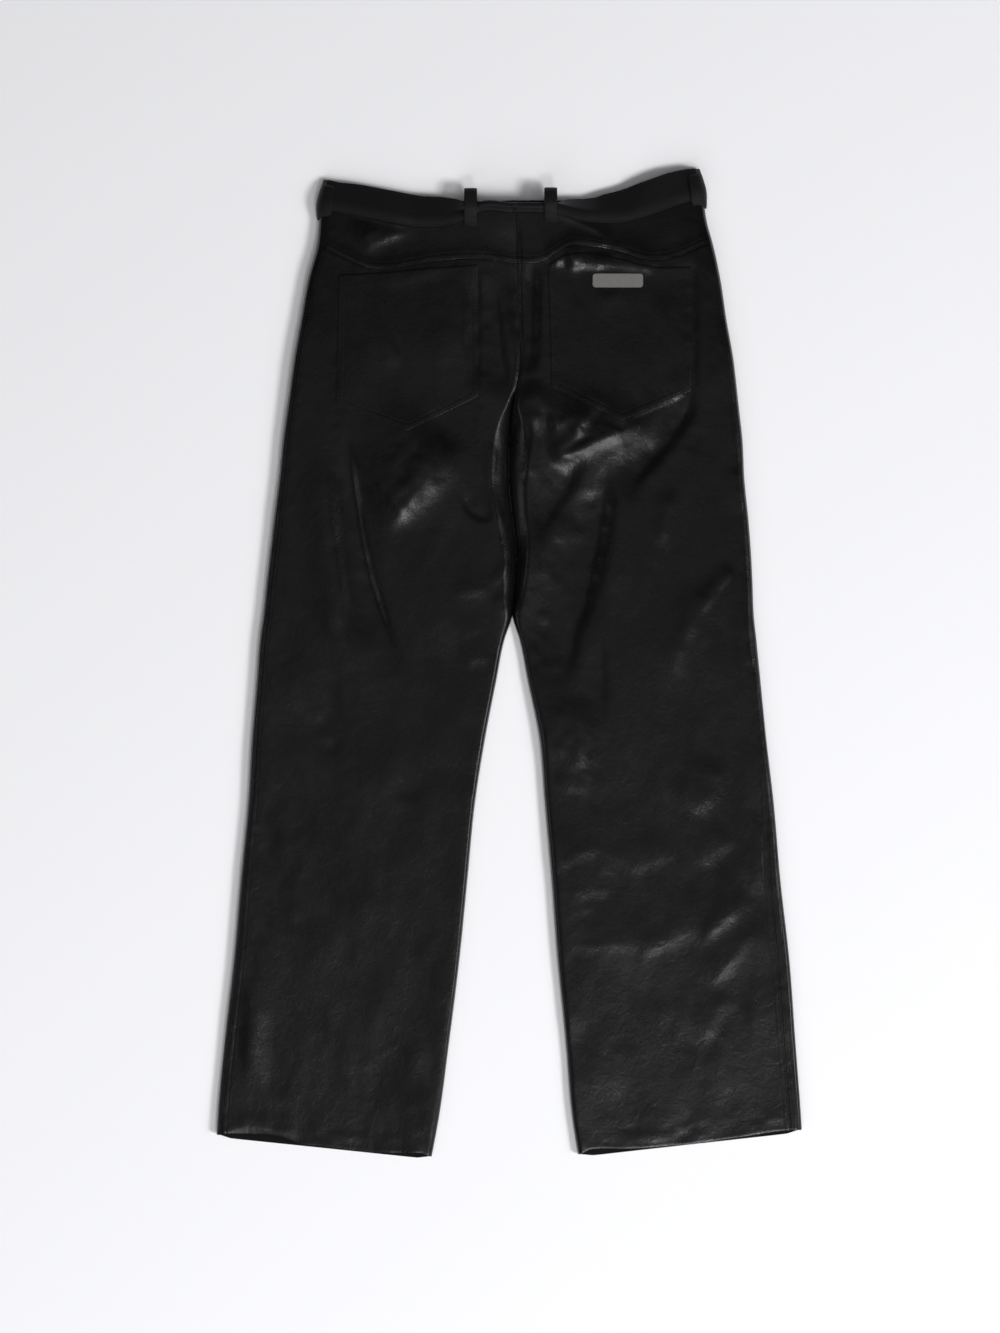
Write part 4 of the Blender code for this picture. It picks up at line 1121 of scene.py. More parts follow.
class Bench:
    """A material's node tree, which makes every node the same way."""

    def __init__(self, name: str) -> None:
        """Makes a material with one Principled shader."""
        self.material = bpy.data.materials.new(name)
        self.material.use_nodes = True
        self.tree = self.material.node_tree
        self.shader = self.tree.nodes["Principled BSDF"]
        coordinates = self.node("ShaderNodeTexCoord")
        self.place = coordinates.outputs["Object"]

    def node(
        self, kind: str, settings: dict[str, Any] | None = None, inputs: dict[Any, Any] | None = None
    ) -> bpy.types.Node:
        """Adds a node.

        Args:
            kind: its type.
            settings: its own properties, set first.
            inputs: values or links of its sockets, by name or number.

        Returns:
            The node.
        """
        made = self.tree.nodes.new(kind)
        for name, value in (settings or {}).items():
            setattr(made, name, value)
        for key, value in (inputs or {}).items():
            self.feed(made.inputs[key], value)
        return made

    def feed(self, socket: bpy.types.NodeSocket, value: Any) -> None:
        """Sets a socket to a plain value, or links it to a Value or another socket."""
        if isinstance(value, Value):
            value = value.socket
        if isinstance(value, bpy.types.NodeSocket):
            self.tree.links.new(value, socket)
        else:
            socket.default_value = value

    def stretched(self, scale: tuple[float, float, float], turn: float = 0.0) -> bpy.types.NodeSocket:
        """The object's coordinates, scaled and turned about the vertical."""
        node = self.node(
            "ShaderNodeMapping", None, {"Vector": self.place, "Scale": scale, "Rotation": (0, 0, turn)}
        )
        return node.outputs["Vector"]

    def noise(self, size: float, detail: float = 2.0, place: Any = None, distortion: float = 0.0) -> Value:
        """Noise with swells of a size in metres."""
        node = self.node(
            "ShaderNodeTexNoise", None,
            {"Vector": place or self.place, "Scale": 1 / size, "Detail": detail, "Distortion": distortion},
        )
        return Value(self, node.outputs["Fac"])

    def cells(self, size: float) -> Value:
        """The distance to the middle of cells of a size in metres."""
        node = self.node("ShaderNodeTexVoronoi", {"feature": "F1"}, {"Vector": self.place, "Scale": 1 / size})
        return Value(self, node.outputs["Distance"])

    def attribute(self, name: str) -> Value:
        """A number that the mesh holds at each point."""
        node = self.node("ShaderNodeAttribute", {"attribute_name": name})
        return Value(self, node.outputs["Fac"])

    def ramp(self, value: Value, low: float, high: float) -> Value:
        """The value's place between two limits, from 0 to 1."""
        node = self.node("ShaderNodeMapRange", {"clamp": True}, {0: value, 1: low, 2: high, 3: 0.0, 4: 1.0})
        return Value(self, node.outputs[0])

    def mix(self, factor: Any, first: tuple, second: tuple) -> bpy.types.NodeSocket:
        """A colour between two."""
        node = self.node("ShaderNodeMix", {"data_type": "RGBA"}, {"Factor": factor, "A": first, "B": second})
        colours = [socket for socket in node.inputs if socket.type == "RGBA"]
        self.feed(colours[0], first)
        self.feed(colours[1], second)
        return next(socket for socket in node.outputs if socket.type == "RGBA")

    def bump(self, height: Value) -> bpy.types.NodeSocket:
        """A normal from a height in metres."""
        node = self.node("ShaderNodeBump", None, {"Height": height, "Distance": 1.0, "Strength": 1.0})
        return node.outputs["Normal"]

    def finish(self, **inputs: Any) -> bpy.types.Material:
        """Sets the shader's inputs, named with lines for spaces, and gives the material."""
        for name, value in inputs.items():
            self.feed(self.shader.inputs[name.replace("_", " ")], value)
        return self.material


Colour = tuple[float, float, float, float]


@dataclass(frozen=True)
class Leather:
    """Black semi-gloss leather with a fine grain, worn a little along its sewn edges."""

    tone: Colour = (0.0022, 0.0022, 0.0024, 1.0)
    worn_tone: Colour = (0.0055, 0.0055, 0.006, 1.0)
    roughness: float = 0.3
    roughness_swing: float = 0.17
    flesh_roughness: float = 0.6
    specular: float = 0.5
    cloud: float = 0.055
    cloud_range: tuple[float, float] = (0.3, 0.8)
    cloud_wear: float = 0.35
    smear: float = 0.018
    smear_range: tuple[float, float] = (0.35, 0.7)
    rub_reach: float = 1.6
    rub_wear: float = 0.6
    rub_roughness: float = 0.1
    grain: float = 0.0010
    grain_depth: float = 0.00004
    wrinkle: float = 0.009
    wrinkle_depth: float = 0.00028
    crackle: float = 0.0030
    crackle_depth: float = 0.00008
    stitch_lines: tuple[float, ...] = (2.4, 7.4)
    groove: float = 0.00010
    groove_width: float = 0.9

    def material(self, name: str) -> bpy.types.Material:
        """The leather as a material."""
        bench = Bench(name)
        edge = bench.attribute(EDGE_LAYER)
        flesh = bench.attribute(FLESH_LAYER)
        clouds = bench.noise(self.cloud, 3.0)
        smears = bench.noise(self.smear, 4.0, distortion=0.6)
        rubbed = (1 - bench.ramp(edge, 0.0, self.rub_reach)) * bench.ramp(smears, *self.smear_range)
        worn = bench.ramp(clouds, *self.cloud_range) * self.cloud_wear + rubbed * self.rub_wear
        swing = (smears - 0.5) * self.roughness_swing + (clouds - 0.5) * self.roughness_swing
        return bench.finish(
            Base_Color=bench.mix(worn, self.tone, self.worn_tone),
            Roughness=swing + self.roughness + rubbed * self.rub_roughness + flesh * self.flesh_roughness,
            Specular_IOR_Level=self.specular,
            Normal=bench.bump(self.height(bench, edge)),
        )

    def height(self, bench: Bench, edge: Value) -> Value:
        """The height of the grain, the fine wrinkles and the grooves below the stitches, in metres."""
        pores = bench.cells(self.grain)
        fine = bench.noise(self.grain * 0.45, 2.0)
        creasing = bench.noise(self.wrinkle, 3.0, bench.stretched((1.0, 0.85, 1.0), 0.3), 0.8)
        crackle = bench.noise(self.crackle, 2.0, distortion=0.5)
        height = pores * self.grain_depth + fine * (self.grain_depth * 0.6) + creasing * self.wrinkle_depth
        height = height + crackle * self.crackle_depth
        for line in self.stitch_lines:
            height = height - edge.bell(line, self.groove_width) * self.groove
        return height


@dataclass(frozen=True)
class Thread:
    """Waxed black thread."""

    tone: Colour = (0.004, 0.004, 0.0045, 1.0)
    roughness: float = 0.5
    ply: float = 0.0006

    def material(self, name: str) -> bpy.types.Material:
        """The thread as a material."""
        bench = Bench(name)
        twist = bench.noise(self.ply, 1.0)
        paler = tuple(channel * 1.8 for channel in self.tone[:3]) + (1.0,)
        return bench.finish(
            Base_Color=bench.mix(twist, self.tone, paler),
            Roughness=twist * 0.2 + (self.roughness - 0.1),
            Normal=bench.bump(twist * (self.ply * 0.1)),
        )


@dataclass(frozen=True)
class BrushedMetal:
    """Pale metal with fine brush lines along X."""

    tone: Colour = (0.56, 0.55, 0.53, 1.0)
    darker: Colour = (0.30, 0.29, 0.28, 1.0)
    roughness: float = 0.3
    metallic: float = 0.8
    line: float = 0.00035
    depth: float = 0.000012
    tarnish: float = 0.006
    tarnish_share: float = 0.4
    line_share: float = 0.5

    def material(self, name: str) -> bpy.types.Material:
        """The metal as a material."""
        bench = Bench(name)
        lines = bench.noise(self.line, 3.0, bench.stretched((0.04, 1.0, 1.0)))
        tarnish = bench.noise(self.tarnish, 3.0)
        return bench.finish(
            Base_Color=bench.mix(
                tarnish * self.tarnish_share + lines * self.line_share, self.tone, self.darker
            ),
            Roughness=lines * 0.18 + tarnish * 0.1 + (self.roughness - 0.12),
            Metallic=self.metallic,
            Normal=bench.bump(lines * self.depth),
        )


@dataclass(frozen=True)
class Backdrop:
    """The plain pale surface below."""

    tone: Colour = (0.86, 0.86, 0.885, 1.0)
    roughness: float = 0.75

    def material(self, name: str) -> bpy.types.Material:
        """The surface as a material."""
        return Bench(name).finish(Base_Color=self.tone, Roughness=self.roughness)


@dataclass
class Stitching:
    """Rows of stitches, joined into one piece for each part of the garment."""

    name: str
    length: float = 2.7
    spacing: float = 3.5
    width: float = 0.75
    height: float = 0.55
    proud: float = 0.12
    rows: list[tuple[Array, Array]] = field(default_factory=list)

    HALF_SPAN = 1.3

    def add(self, points: Array, normals: Array) -> None:
        """Adds a row along points on the leather, in the lay's millimetres."""
        self.rows.append((points, normals))

    def build(self, material: bpy.types.Material) -> bpy.types.Object:
        """Makes the stitches as one piece.

        Args:
            material: the thread.

        Returns:
            The piece.
        """
        bm = bmesh.new()
        for points, normals in self.rows:
            run = np.concatenate([[0], np.cumsum(np.linalg.norm(np.diff(points, axis=0), axis=-1))])
            count = int(run[-1] // self.spacing)
            middles = (np.arange(count) + 0.5) * run[-1] / max(count, 1)
            for middle in middles:
                start, end = (
                    Vector([np.interp(middle + off, run, points[:, k]) for k in range(3)])
                    for off in (-self.HALF_SPAN, self.HALF_SPAN)
                )
                up = Vector([np.interp(middle, run, normals[:, k]) for k in range(3)]).normalized()
                along = (end - start).normalized()
                across = up.cross(along).normalized()
                centre = (start + end) / 2 + up * self.height * self.proud
                turned = Matrix((along, across, along.cross(across))).transposed().to_4x4()
                size = Matrix.Diagonal((self.length / 2, self.width / 2, self.height / 2, 1))
                bmesh.ops.create_icosphere(
                    bm, subdivisions=1, radius=1, matrix=Matrix.Translation(centre) @ turned @ size
                )
        made = finish_object(self.name, bm)
        made.data.materials.append(material)
        return made


@dataclass
class Dressing:
    """The materials that the garment's pieces share."""

    leather: bpy.types.Material
    band: bpy.types.Material
    thread: bpy.types.Material
    metal: bpy.types.Material


def dress(piece: bpy.types.Object, node: str, material: bpy.types.Material) -> None:
    """Gives a piece its material and slot, and lets it stand for its solid."""
    piece.data.materials.append(material)
    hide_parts(node)


@dataclass
class HalfPanels:
    """The back panel, yoke, pocket and front panel of one half."""

    half: Half
    word: str
    hem_stitch: float = 16.0
    pocket_hem: float = 13.0
    lines: tuple[float, float] = (2.4, 7.4)
    side_stitch_y: tuple[float, float] = (410, -500)
    centre_stitch_y: tuple[float, float] = (484, 268)

    def build(self, dressing: Dressing) -> list[bpy.types.Object]:
        """Builds and dresses the panels.

        Args:
            dressing: the materials.

        Returns:
            The pieces.
        """
        half, word = self.half, self.word
        every, upper, lower = slice(None), slice(0, YOKE_ROW + 1), slice(YOKE_ROW, None)
        back, front = slice(0, half.back_columns + 1), slice(half.back_columns, None)
        patch = slice(POCKET_ROWS[0], POCKET_ROWS[1] + 1), slice(POCKET_COLUMNS[0], POCKET_COLUMNS[1] + 1)
        wall = np.full((len(half.points), 1), WALL)
        wall[-1 - HEM_ROWS :] = HEM_WALL
        proud = self.yoke_proud(half.points[upper, back])
        columns = (Side.FIRST_COLUMN, Side.LAST_COLUMN)
        below, panel = f"front_panel_{word}", f"back_panel_{word}"
        lift = POCKET_CLEAR + WALL
        parts = (
            ("back", panel, (lower, back), wall[lower], 0.0, UPPER_SIDES, columns, below),
            ("yoke", f"yoke_{word}", (upper, back), WALL + proud, proud, ALL_SIDES, (Side.LAST_ROW,), below),
            ("front", below, (every, front), wall, 0.0, UPPER_SIDES, (Side.FIRST_COLUMN,), "floor"),
            ("pocket", f"pocket_back_{word}", patch, WALL, lift, (), (Side.LAST_ROW, *columns), panel),
        )
        pieces = []
        for name, node, stretch, thickness, lift, sides, sewn, lies_on in parts:
            points, normals = half.points[stretch], half.normals[stretch]
            shape = points, normals, thickness, lift
            piece = wall_piece(f"shell_{name}_{word}", *shape, sides=sides, sewn=sewn)
            dress(piece, node, dressing.leather)
            pieces.append(piece)
        return pieces

    @staticmethod
    def yoke_proud(points: Array) -> Array:
        """How far the yoke stands proud of the skin: most beside its seam, where its edge rolls down."""
        from_seam = run_from(points, 0, True)
        uneven = YOKE_ROLL_MEAN + YOKE_SWELL.relief(points[..., 0], points[..., 1])
        proud = YOKE_PROUD * np.exp(-((np.maximum(from_seam - YOKE_LEDGE, 0) / YOKE_FALL) ** 2))
        return proud - YOKE_ROLL * uneven * (1 - ease(from_seam, 0.0, YOKE_LEDGE))

    def spread(
        self, lines: tuple[Curve, Curve], levels: tuple[float, float], insets: tuple[float, float], count: int
    ) -> Array:
        """Even places across the half between two lines.

        Args:
            lines: the inner and the outer line.
            levels: the level at which each is taken.
            insets: how far in from each the places begin and end.
            count: how many there are.

        Returns:
            The places.
        """
        start = lines[0](levels[0]) + self.half.side * insets[0]
        end = lines[1](levels[1]) - self.half.side * insets[1]
        return np.linspace(float(start), float(end), count)

    def stitches(self, dressing: Dressing) -> bpy.types.Object:
        """Sews the panels' seams.

        Args:
            dressing: the materials.

        Returns:
            The stitches, as one piece.
        """
        half, side = self.half, self.half.side
        edges, pocket_sides = (half.inner, half.outer), (half.pocket_inner, half.pocket_outer)
        yoke_seam = half.rows["yoke_seam"]
        sewing = Stitching(f"stitches_{self.word}")
        for inset in self.lines:
            x = self.spread(edges, (442, 455), (2, 6), 160)
            sewing.add(*half.surface(x, yoke_seam(x) + inset, YOKE_PROUD * max(1 - inset / 15, 0)))
            self.sew_pocket(sewing, inset)
        x = self.spread(pocket_sides, (430, 430), (3, 3), 100)
        sewing.add(*half.surface(x, half.rows["pocket_top"](x) - self.pocket_hem, POCKET_CLEAR + WALL))
        x = self.spread(edges, (-520, -510), (9, 11), 160)
        sewing.add(*half.surface(x, half.rows["hem"](x) + self.hem_stitch, 0.0))
        y = np.linspace(*self.side_stitch_y, 500)
        inset = half.seam(y) + self.lines[0]
        sewing.add(*half.surface(half.outer(y) - side * inset, y, 0.0))
        if side > 0:
            for inset in self.lines:
                y = np.linspace(*self.centre_stitch_y, 120)
                lift = np.where(y > yoke_seam(inset), YOKE_PROUD * 0.3, 0.0)[:, None]
                points, normals = half.surface(half.inner(y) + inset, y, 0.0)
                sewing.add(points + normals * lift, normals)
        return sewing.build(dressing.thread)

    def sew_pocket(self, sewing: Stitching, inset: float) -> None:
        """Adds a row of stitches down one side of the pocket, round its foot and up the other side."""
        half, side = self.half, self.half.side
        top, foot = half.rows["pocket_top"], half.rows["pocket_foot"]
        across_x = self.spread((half.pocket_inner, half.pocket_outer), (360, 360), (inset, inset), 80)
        inner_x, outer_x = across_x[0], across_x[-1]
        down_y = np.linspace(top(inner_x) - 2, foot(inner_x) + inset, 60)
        across_x = across_x[1:-1]
        up_y = np.linspace(foot(outer_x) + inset, top(outer_x) - 2, 60)
        x = np.concatenate([half.pocket_inner(down_y) + side * inset, across_x])
        x = np.concatenate([x, half.pocket_outer(up_y) - side * inset])
        y = np.concatenate([down_y, foot(across_x) + inset * 1.1, up_y])
        sewing.add(*half.surface(x, y, POCKET_CLEAR + WALL))


def band_path(x: Array, share: float) -> tuple[Array, Array]:
    """The waistband's surface at a share of its width.

    Args:
        x: stations across the waist.
        share: the share of the width, from the seam.

    Returns:
        How far forward of the seam and how far above it the surface lies at each station.
    """
    seam = np.radians(column(BAND_PITCHES, "x", "seam")(x))
    top = np.radians(column(BAND_PITCHES, "x", "top")(x))
    stretch = column(BAND_PITCHES, "x", "share")(x)
    steps = np.linspace(0, 1, BAND_PATH_STEPS + 1)
    pitch = seam[..., None] + (top - seam)[..., None] * ease(steps * BAND_WIDTH, *BAND_BEND)
    step = BAND_WIDTH * (steps[1] - steps[0])
    forward = np.cumsum(np.cos(pitch), axis=-1) * step - step
    up = np.cumsum(np.sin(pitch), axis=-1) * step
    index = int(round(share * BAND_PATH_STEPS))
    return forward[..., index] * stretch, up[..., index] * stretch


def drawn_in(x: Array, share: float) -> Array:
    """Where places along the waist lie at a share of the band's width, which narrows toward its top.

    Args:
        x: the places along the seam.
        share: the share of the width, from the seam.

    Returns:
        The places across the lay.
    """
    end = np.where(x < 0, -LEFT_ROW_GUIDES["waist_seam"][-1][0], RIGHT_ROW_GUIDES["waist_seam"][-1][0])
    drawn = BAND_DRAW * share**BAND_DRAW_POWER * ease(np.abs(x) / end, BAND_DRAW_FROM, 1.0)
    return x - np.sign(x) * drawn


@dataclass
class Waistband:
    """The back waistband over both halves and the two front ones, and the fly placket."""

    left: Half
    right: Half
    stitch_inset: float = 2.6

    def __post_init__(self) -> None:
        """Works out the skins that the bands and what lies on them are made from."""
        self.band = self.back_points()
        self.normals = unit(grid_normals(self.band, 1))
        columns = self.left.back_columns
        self.normals[0, : columns + 1] = self.left.normals[0, : columns + 1][::-1]
        self.normals[0, columns + 1 :] = self.right.normals[0, 1 : columns + 1]
        self.fronts: dict[str, tuple[Array, Array]] = {}
        for half, word, end in ((self.left, "left", 0), (self.right, "right", -1)):
            front = self.front_points(half, self.band[:, end])
            front_normals = unit(grid_normals(front, half.side))
            front_normals[0] = half.normals[0, half.back_columns :]
            shared = unit(front_normals[:, 0] + self.normals[:, end])
            front_normals[:, 0] = shared
            self.normals[:, end] = shared
            self.fronts[word] = (front, front_normals)

    def back_points(self) -> Array:
        """The back waistband's skin: rows from its seam to its top, columns from left to right."""
        columns = self.left.back_columns
        left, right = self.left.points[0, : columns + 1][::-1], self.right.points[0, 1 : columns + 1]
        seam = np.concatenate([left, right])
        share = np.concatenate(
            [self.left.edge_share(left[:, 0], left[:, 1]), self.right.edge_share(right[:, 0], right[:, 1])]
        )
        rows = []
        for k in range(BAND_ROWS + 1):
            forward, up = band_path(seam[:, 0], k / BAND_ROWS)
            x = drawn_in(seam[:, 0], k / BAND_ROWS)
            rows.append(np.stack([x, seam[:, 1] + forward, seam[:, 2] + up * share], axis=-1))
        points = np.stack(rows)
        peak = points[..., 2].max(axis=0)
        fall = peak - points[-1, :, 2]
        room = np.minimum(np.maximum(peak - BAND_REST, 1), fall)
        lowered = peak - (peak - points[..., 2]) * room / np.maximum(fall, 1e-6)
        past_peak = np.arange(BAND_ROWS + 1)[:, None] > points[..., 2].argmax(axis=0)
        points[..., 2] = np.where(past_peak, lowered, points[..., 2])
        return points

    def front_points(self, half: Half, back_end: Array) -> Array:
        """A front waistband's skin.

        Args:
            half: the half that it is sewn to.
            back_end: the back waistband's end.

        Returns:
            Its points, from that end round the side to the centre front.
        """
        start = half.points[0, half.back_columns :]
        end_forward = back_end[:, 1] - back_end[0, 1]
        count = len(start)
        wrapped = np.arange(count) <= WRAP_COLUMNS
        blend = ease(np.arange(count), WRAP_COLUMNS, WRAP_COLUMNS + BAND_BLEND_COLUMNS)
        share = (start[:, 2] - EDGE_HEIGHT) / (start[0, 2] - EDGE_HEIGHT)
        rows = []
        for k in range(BAND_ROWS + 1):
            flat = np.full(count, BAND_WIDTH * k / BAND_ROWS)
            forward = end_forward[k] + (flat - end_forward[k]) * blend
            level = start[:, 2].copy()
            level[wrapped] = EDGE_HEIGHT + (back_end[k, 2] - EDGE_HEIGHT) * share[wrapped]
            x = start[:, 0] + (drawn_in(start[:, 0], k / BAND_ROWS) - start[:, 0]) * (1 - blend)
            rows.append(np.stack([x, start[:, 1] + forward, level], axis=-1))
        return np.stack(rows)

    def with_lap(self, front: Array, normals: Array, lift: Array) -> tuple[Array, Array, Array]:
        """The left front waistband with the tab that laps below the right one.

        Args:
            front: its points.
            normals: their normals.
            lift: how far each is moved out.

        Returns:
            The three, with the tab's columns added.
        """
        step = np.array([LAP_END - front[0, -1, 0], 0, 0])
        tab = np.stack([front[:, -1] + step * f for f in np.linspace(0, 1, TAB_COLUMNS + 1)[1:]], axis=1)
        down = np.broadcast_to(normals[:, -1:], tab.shape)
        flat = np.zeros(tab.shape[:2])
        return (
            np.concatenate([front, tab], axis=1),
            np.concatenate([normals, down], axis=1),
            np.concatenate([lift, flat], axis=1),
        )

    def build(self, dressing: Dressing) -> list[bpy.types.Object]:
        """Builds and dresses the bands.

        Args:
            dressing: the materials.

        Returns:
            The pieces.
        """
        sewn = (Side.FIRST_ROW, Side.LAST_ROW)
        run = np.broadcast_to(np.linspace(0, BAND_WIDTH, BAND_ROWS + 1)[:, None], self.band.shape[:2])
        across = np.broadcast_to(self.band[0, :, 0], run.shape)
        ridges = sum(crease.relief(across, run) for crease in BAND_CREASES)
        back = wall_piece(
            "shell_waistband_back", self.band, self.normals, BAND_WALL, BAND_PROUD + ridges, BAND_GAP,
            UPPER_SIDES, sewn,
        )
        dress(back, "waistband_back", dressing.band)
        pieces = [back]
        for word, (front, normals) in self.fronts.items():
            lift = np.zeros(front.shape[:2])
            lift[:, : WRAP_COLUMNS + 1] = np.linspace(BAND_PROUD, 0, WRAP_COLUMNS + 1)
            sides = UPPER_SIDES
            if word == "left":
                front, normals, lift = self.with_lap(front, normals, lift)
                sides = (Side.FIRST_ROW, Side.FIRST_COLUMN)
            piece = wall_piece(
                f"shell_waistband_front_{word}", front, normals, BAND_WALL, lift, BAND_GAP, sides, sewn
            )
            dress(piece, f"waistband_front_{word}", dressing.band)
            pieces.append(piece)
        return pieces + [self.build_placket(dressing)]

    def build_placket(self, dressing: Dressing) -> bpy.types.Object:
        """The placket sewn on the left front beside the opening."""
        foot = int(np.argmin(np.abs(self.left.points[:, -1, 1] - PLACKET_FOOT_Y)))
        across = np.abs(self.left.points[0, :, 0] - self.left.points[0, -1, 0])
        below = np.arange(len(across)) > self.left.back_columns + WRAP_COLUMNS
        first = int(np.flatnonzero(below & (across < PLACKET_WIDTH))[0])
        points = self.left.points[: foot + 1, first:]
        down = np.zeros_like(points)
        down[..., 2] = -1.0
        piece = wall_piece(
            "shell_fly_placket", points, down, PLACKET_WALL, SEAM_GAP + PLACKET_WALL, sides=(Side.FIRST_ROW,)
        )
        dress(piece, "fly_placket", dressing.leather)
        return piece

    def stitches(self, dressing: Dressing) -> bpy.types.Object:
        """Sews the waistband along its seam and its top.

        Args:
            dressing: the materials.

        Returns:
            The stitches, as one piece.
        """
        sewing = Stitching("stitches_waistband")
        for inset in (self.stitch_inset, BAND_WIDTH - self.stitch_inset):
            row = inset / BAND_WIDTH * BAND_ROWS
            low, share = int(row), row % 1
            points = self.band[low] * (1 - share) + self.band[low + 1] * share
            normals = unit(self.normals[low] * (1 - share) + self.normals[low + 1] * share)
            inside = slice(3, -3)
            sewing.add((points + normals * BAND_PROUD)[inside], normals[inside])
        return sewing.build(dressing.thread)


def strip(name: str, path: Array, width: float, wall: float) -> tuple[bpy.types.Object, Array, Array]:
    """A strip of leather along a path.

    Args:
        name: its name.
        path: the line along its middle, at one place across the lay.
        width: its width.
        wall: its thickness.

    Returns:
        The strip, and the points and normals of its outer face.
    """
    across = np.array([1.0, 0.0, 0.0])
    tangent = unit(np.gradient(path, axis=0))
    outward = unit(np.cross(across, tangent))
    shares = np.linspace(-0.5, 0.5, STRIP_COLUMNS + 1)
    middle = path[:, None] + shares[None, :, None] * width * across
    crown = STRIP_CROWN * (1 - (2 * np.abs(shares)) ** 4)[None, :, None]
    outside = middle + outward[:, None] * (wall / 2 - STRIP_CROWN + crown)
    inside = middle - outward[:, None] * wall / 2
    edges = from_borders(outside, (Side.FIRST_COLUMN, Side.LAST_COLUMN))
    normals = np.broadcast_to(outward[:, None], outside.shape)
    return shell(name, outside, inside, edges), outside, normals


@dataclass
class BeltLoops:
    """Two back loops that stand over the curl of the waistband, two side loops and two front ones."""

    waistband: Waistband
    back: dict[str, float] = field(default_factory=lambda: {"left": -42.6, "right": 45.0})
    front: dict[str, float] = field(default_factory=lambda: {"left": -98.0, "right": 112.0})
    reach: dict[str, float] = field(default_factory=lambda: {"left": 0.94, "right": 0.83})

    PATH_STEPS = 60
    STITCHED_COLUMNS = (2, -3)
    STITCHED_ROWS = (1, 3, 5)
    TOP_SQUEEZE = 0.75
    TOP_REACH = 11
    FOOT_SQUEEZE = 0.3

    def build(self, dressing: Dressing) -> list[bpy.types.Object]:
        """Builds and dresses the loops and their stitches.

        Args:
            dressing: the materials.

        Returns:
            The pieces.
        """
        sewing = Stitching("stitches_loops")
        pieces = []
        for half, word in ((self.waistband.left, "left"), (self.waistband.right, "right")):
            pieces.append(self.build_back(half, word, dressing, sewing))
            pieces.append(self.build_side(half, word, dressing, sewing))
            pieces.append(self.build_front(word, dressing))
        return pieces + [sewing.build(dressing.thread)]

    def build_back(self, half: Half, word: str, dressing: Dressing, sewing: Stitching) -> bpy.types.Object:
        """A back loop, sewn below the waistband and turned under at the top."""
        x = self.back[word]
        seam_y = float(half.rows["waist_seam"](x))
        height = float(half.top(np.array([x]), np.array([seam_y]))[0])
        place = np.arange(len(BACK_LOOP_PATH))
        at = np.linspace(0, len(BACK_LOOP_PATH) - 1, self.PATH_STEPS + 1)
        forward, up = (curve_through(zip(place, values))(at) for values in zip(*BACK_LOOP_PATH))
        forward = np.where(forward > 0, forward * self.reach[word], forward)
        path = np.stack([np.full(len(at), x), seam_y + forward, height + up], axis=-1)
        piece, outside, normals = strip(f"shell_loop_back_{word}", path, LOOP_WIDTH, LOOP_WALL)
        dress(piece, f"belt_loop_back_{word}", dressing.band)
        for line in self.STITCHED_COLUMNS:
            sewing.add(outside[2:-2, line], normals[2:-2, line])
        for row in self.STITCHED_ROWS:
            sewing.add(outside[row, 1:-1], normals[row, 1:-1])
        return piece

    def build_side(self, half: Half, word: str, dressing: Dressing, sewing: Stitching) -> bpy.types.Object:
        """A side loop, over the side seam from just below the waistband to its top."""
        band, normals = self.waistband.band, self.waistband.normals
        front, front_normals = self.waistband.fronts[word]
        reach, foot = SIDE_LOOP_COLUMNS, SIDE_LOOP_FOOT
        stretch = slice(reach, 0, -1) if word == "left" else slice(-1 - reach, -1)
        points = np.concatenate([band[:, stretch], front[:, : WRAP_COLUMNS + 1]], axis=1)
        outward = np.concatenate([normals[:, stretch], front_normals[:, : WRAP_COLUMNS + 1]], axis=1)
        columns = slice(half.back_columns - reach, half.back_columns + WRAP_COLUMNS + 1)
        toward_hem = unit(half.points[4, columns] - half.points[0, columns])
        below = np.stack([half.points[0, columns] + toward_hem * step for step in foot])
        points = np.concatenate([below, points])
        outward = np.concatenate([np.broadcast_to(half.normals[0:1, columns], below.shape), outward])
        across = np.abs(points[len(foot), :, 0] - half.outer(points[len(foot), :, 1]))
        keep = slice(int(np.argmax(across < SIDE_LOOP_REACH)), None)
        points, outward = points[:, keep], outward[:, keep]
        up = foot[0] + np.arange(BAND_ROWS + 1) * BAND_WIDTH / BAND_ROWS
        run = np.concatenate([[foot[0] - step for step in foot], up])
        lift = curve_through(SIDE_LOOP_LIFTS)(run)[:, None] + LOOP_WALL
        points = self.pointed(points, run)
        edges = from_borders(points, (Side.FIRST_COLUMN,))
        outside = points + outward * lift[..., None]
        piece = shell(f"shell_loop_side_{word}", outside, outside - outward * LOOP_WALL, edges)
        dress(piece, f"belt_loop_side_{word}", dressing.band)
        sewing.add(outside[1:-1, 2], outward[1:-1, 2])
        return piece

    def pointed(self, points: Array, run: Array) -> Array:
        """A side loop's grid, narrowed toward its upper end and a little toward its foot.

        Args:
            points: the grid, its columns from the loop's inner edge round the side.
            run: each row's distance from the loop's foot.

        Returns:
            The narrowed grid.
        """
        edge = int(np.abs(points[0, :, 0]).argmax())
        upper = np.arange(points.shape[1]) < edge
        squeeze = self.TOP_SQUEEZE * ease(run, run[-1] - self.TOP_REACH, run[-1] + 1)
        squeeze = squeeze + self.FOOT_SQUEEZE * (1 - ease(run, 0, SIDE_LOOP_FOOT[0]))
        drawn = points + (points[:, edge : edge + 1] - points) * squeeze[:, None, None]
        return np.where(upper[None, :, None], drawn, points)

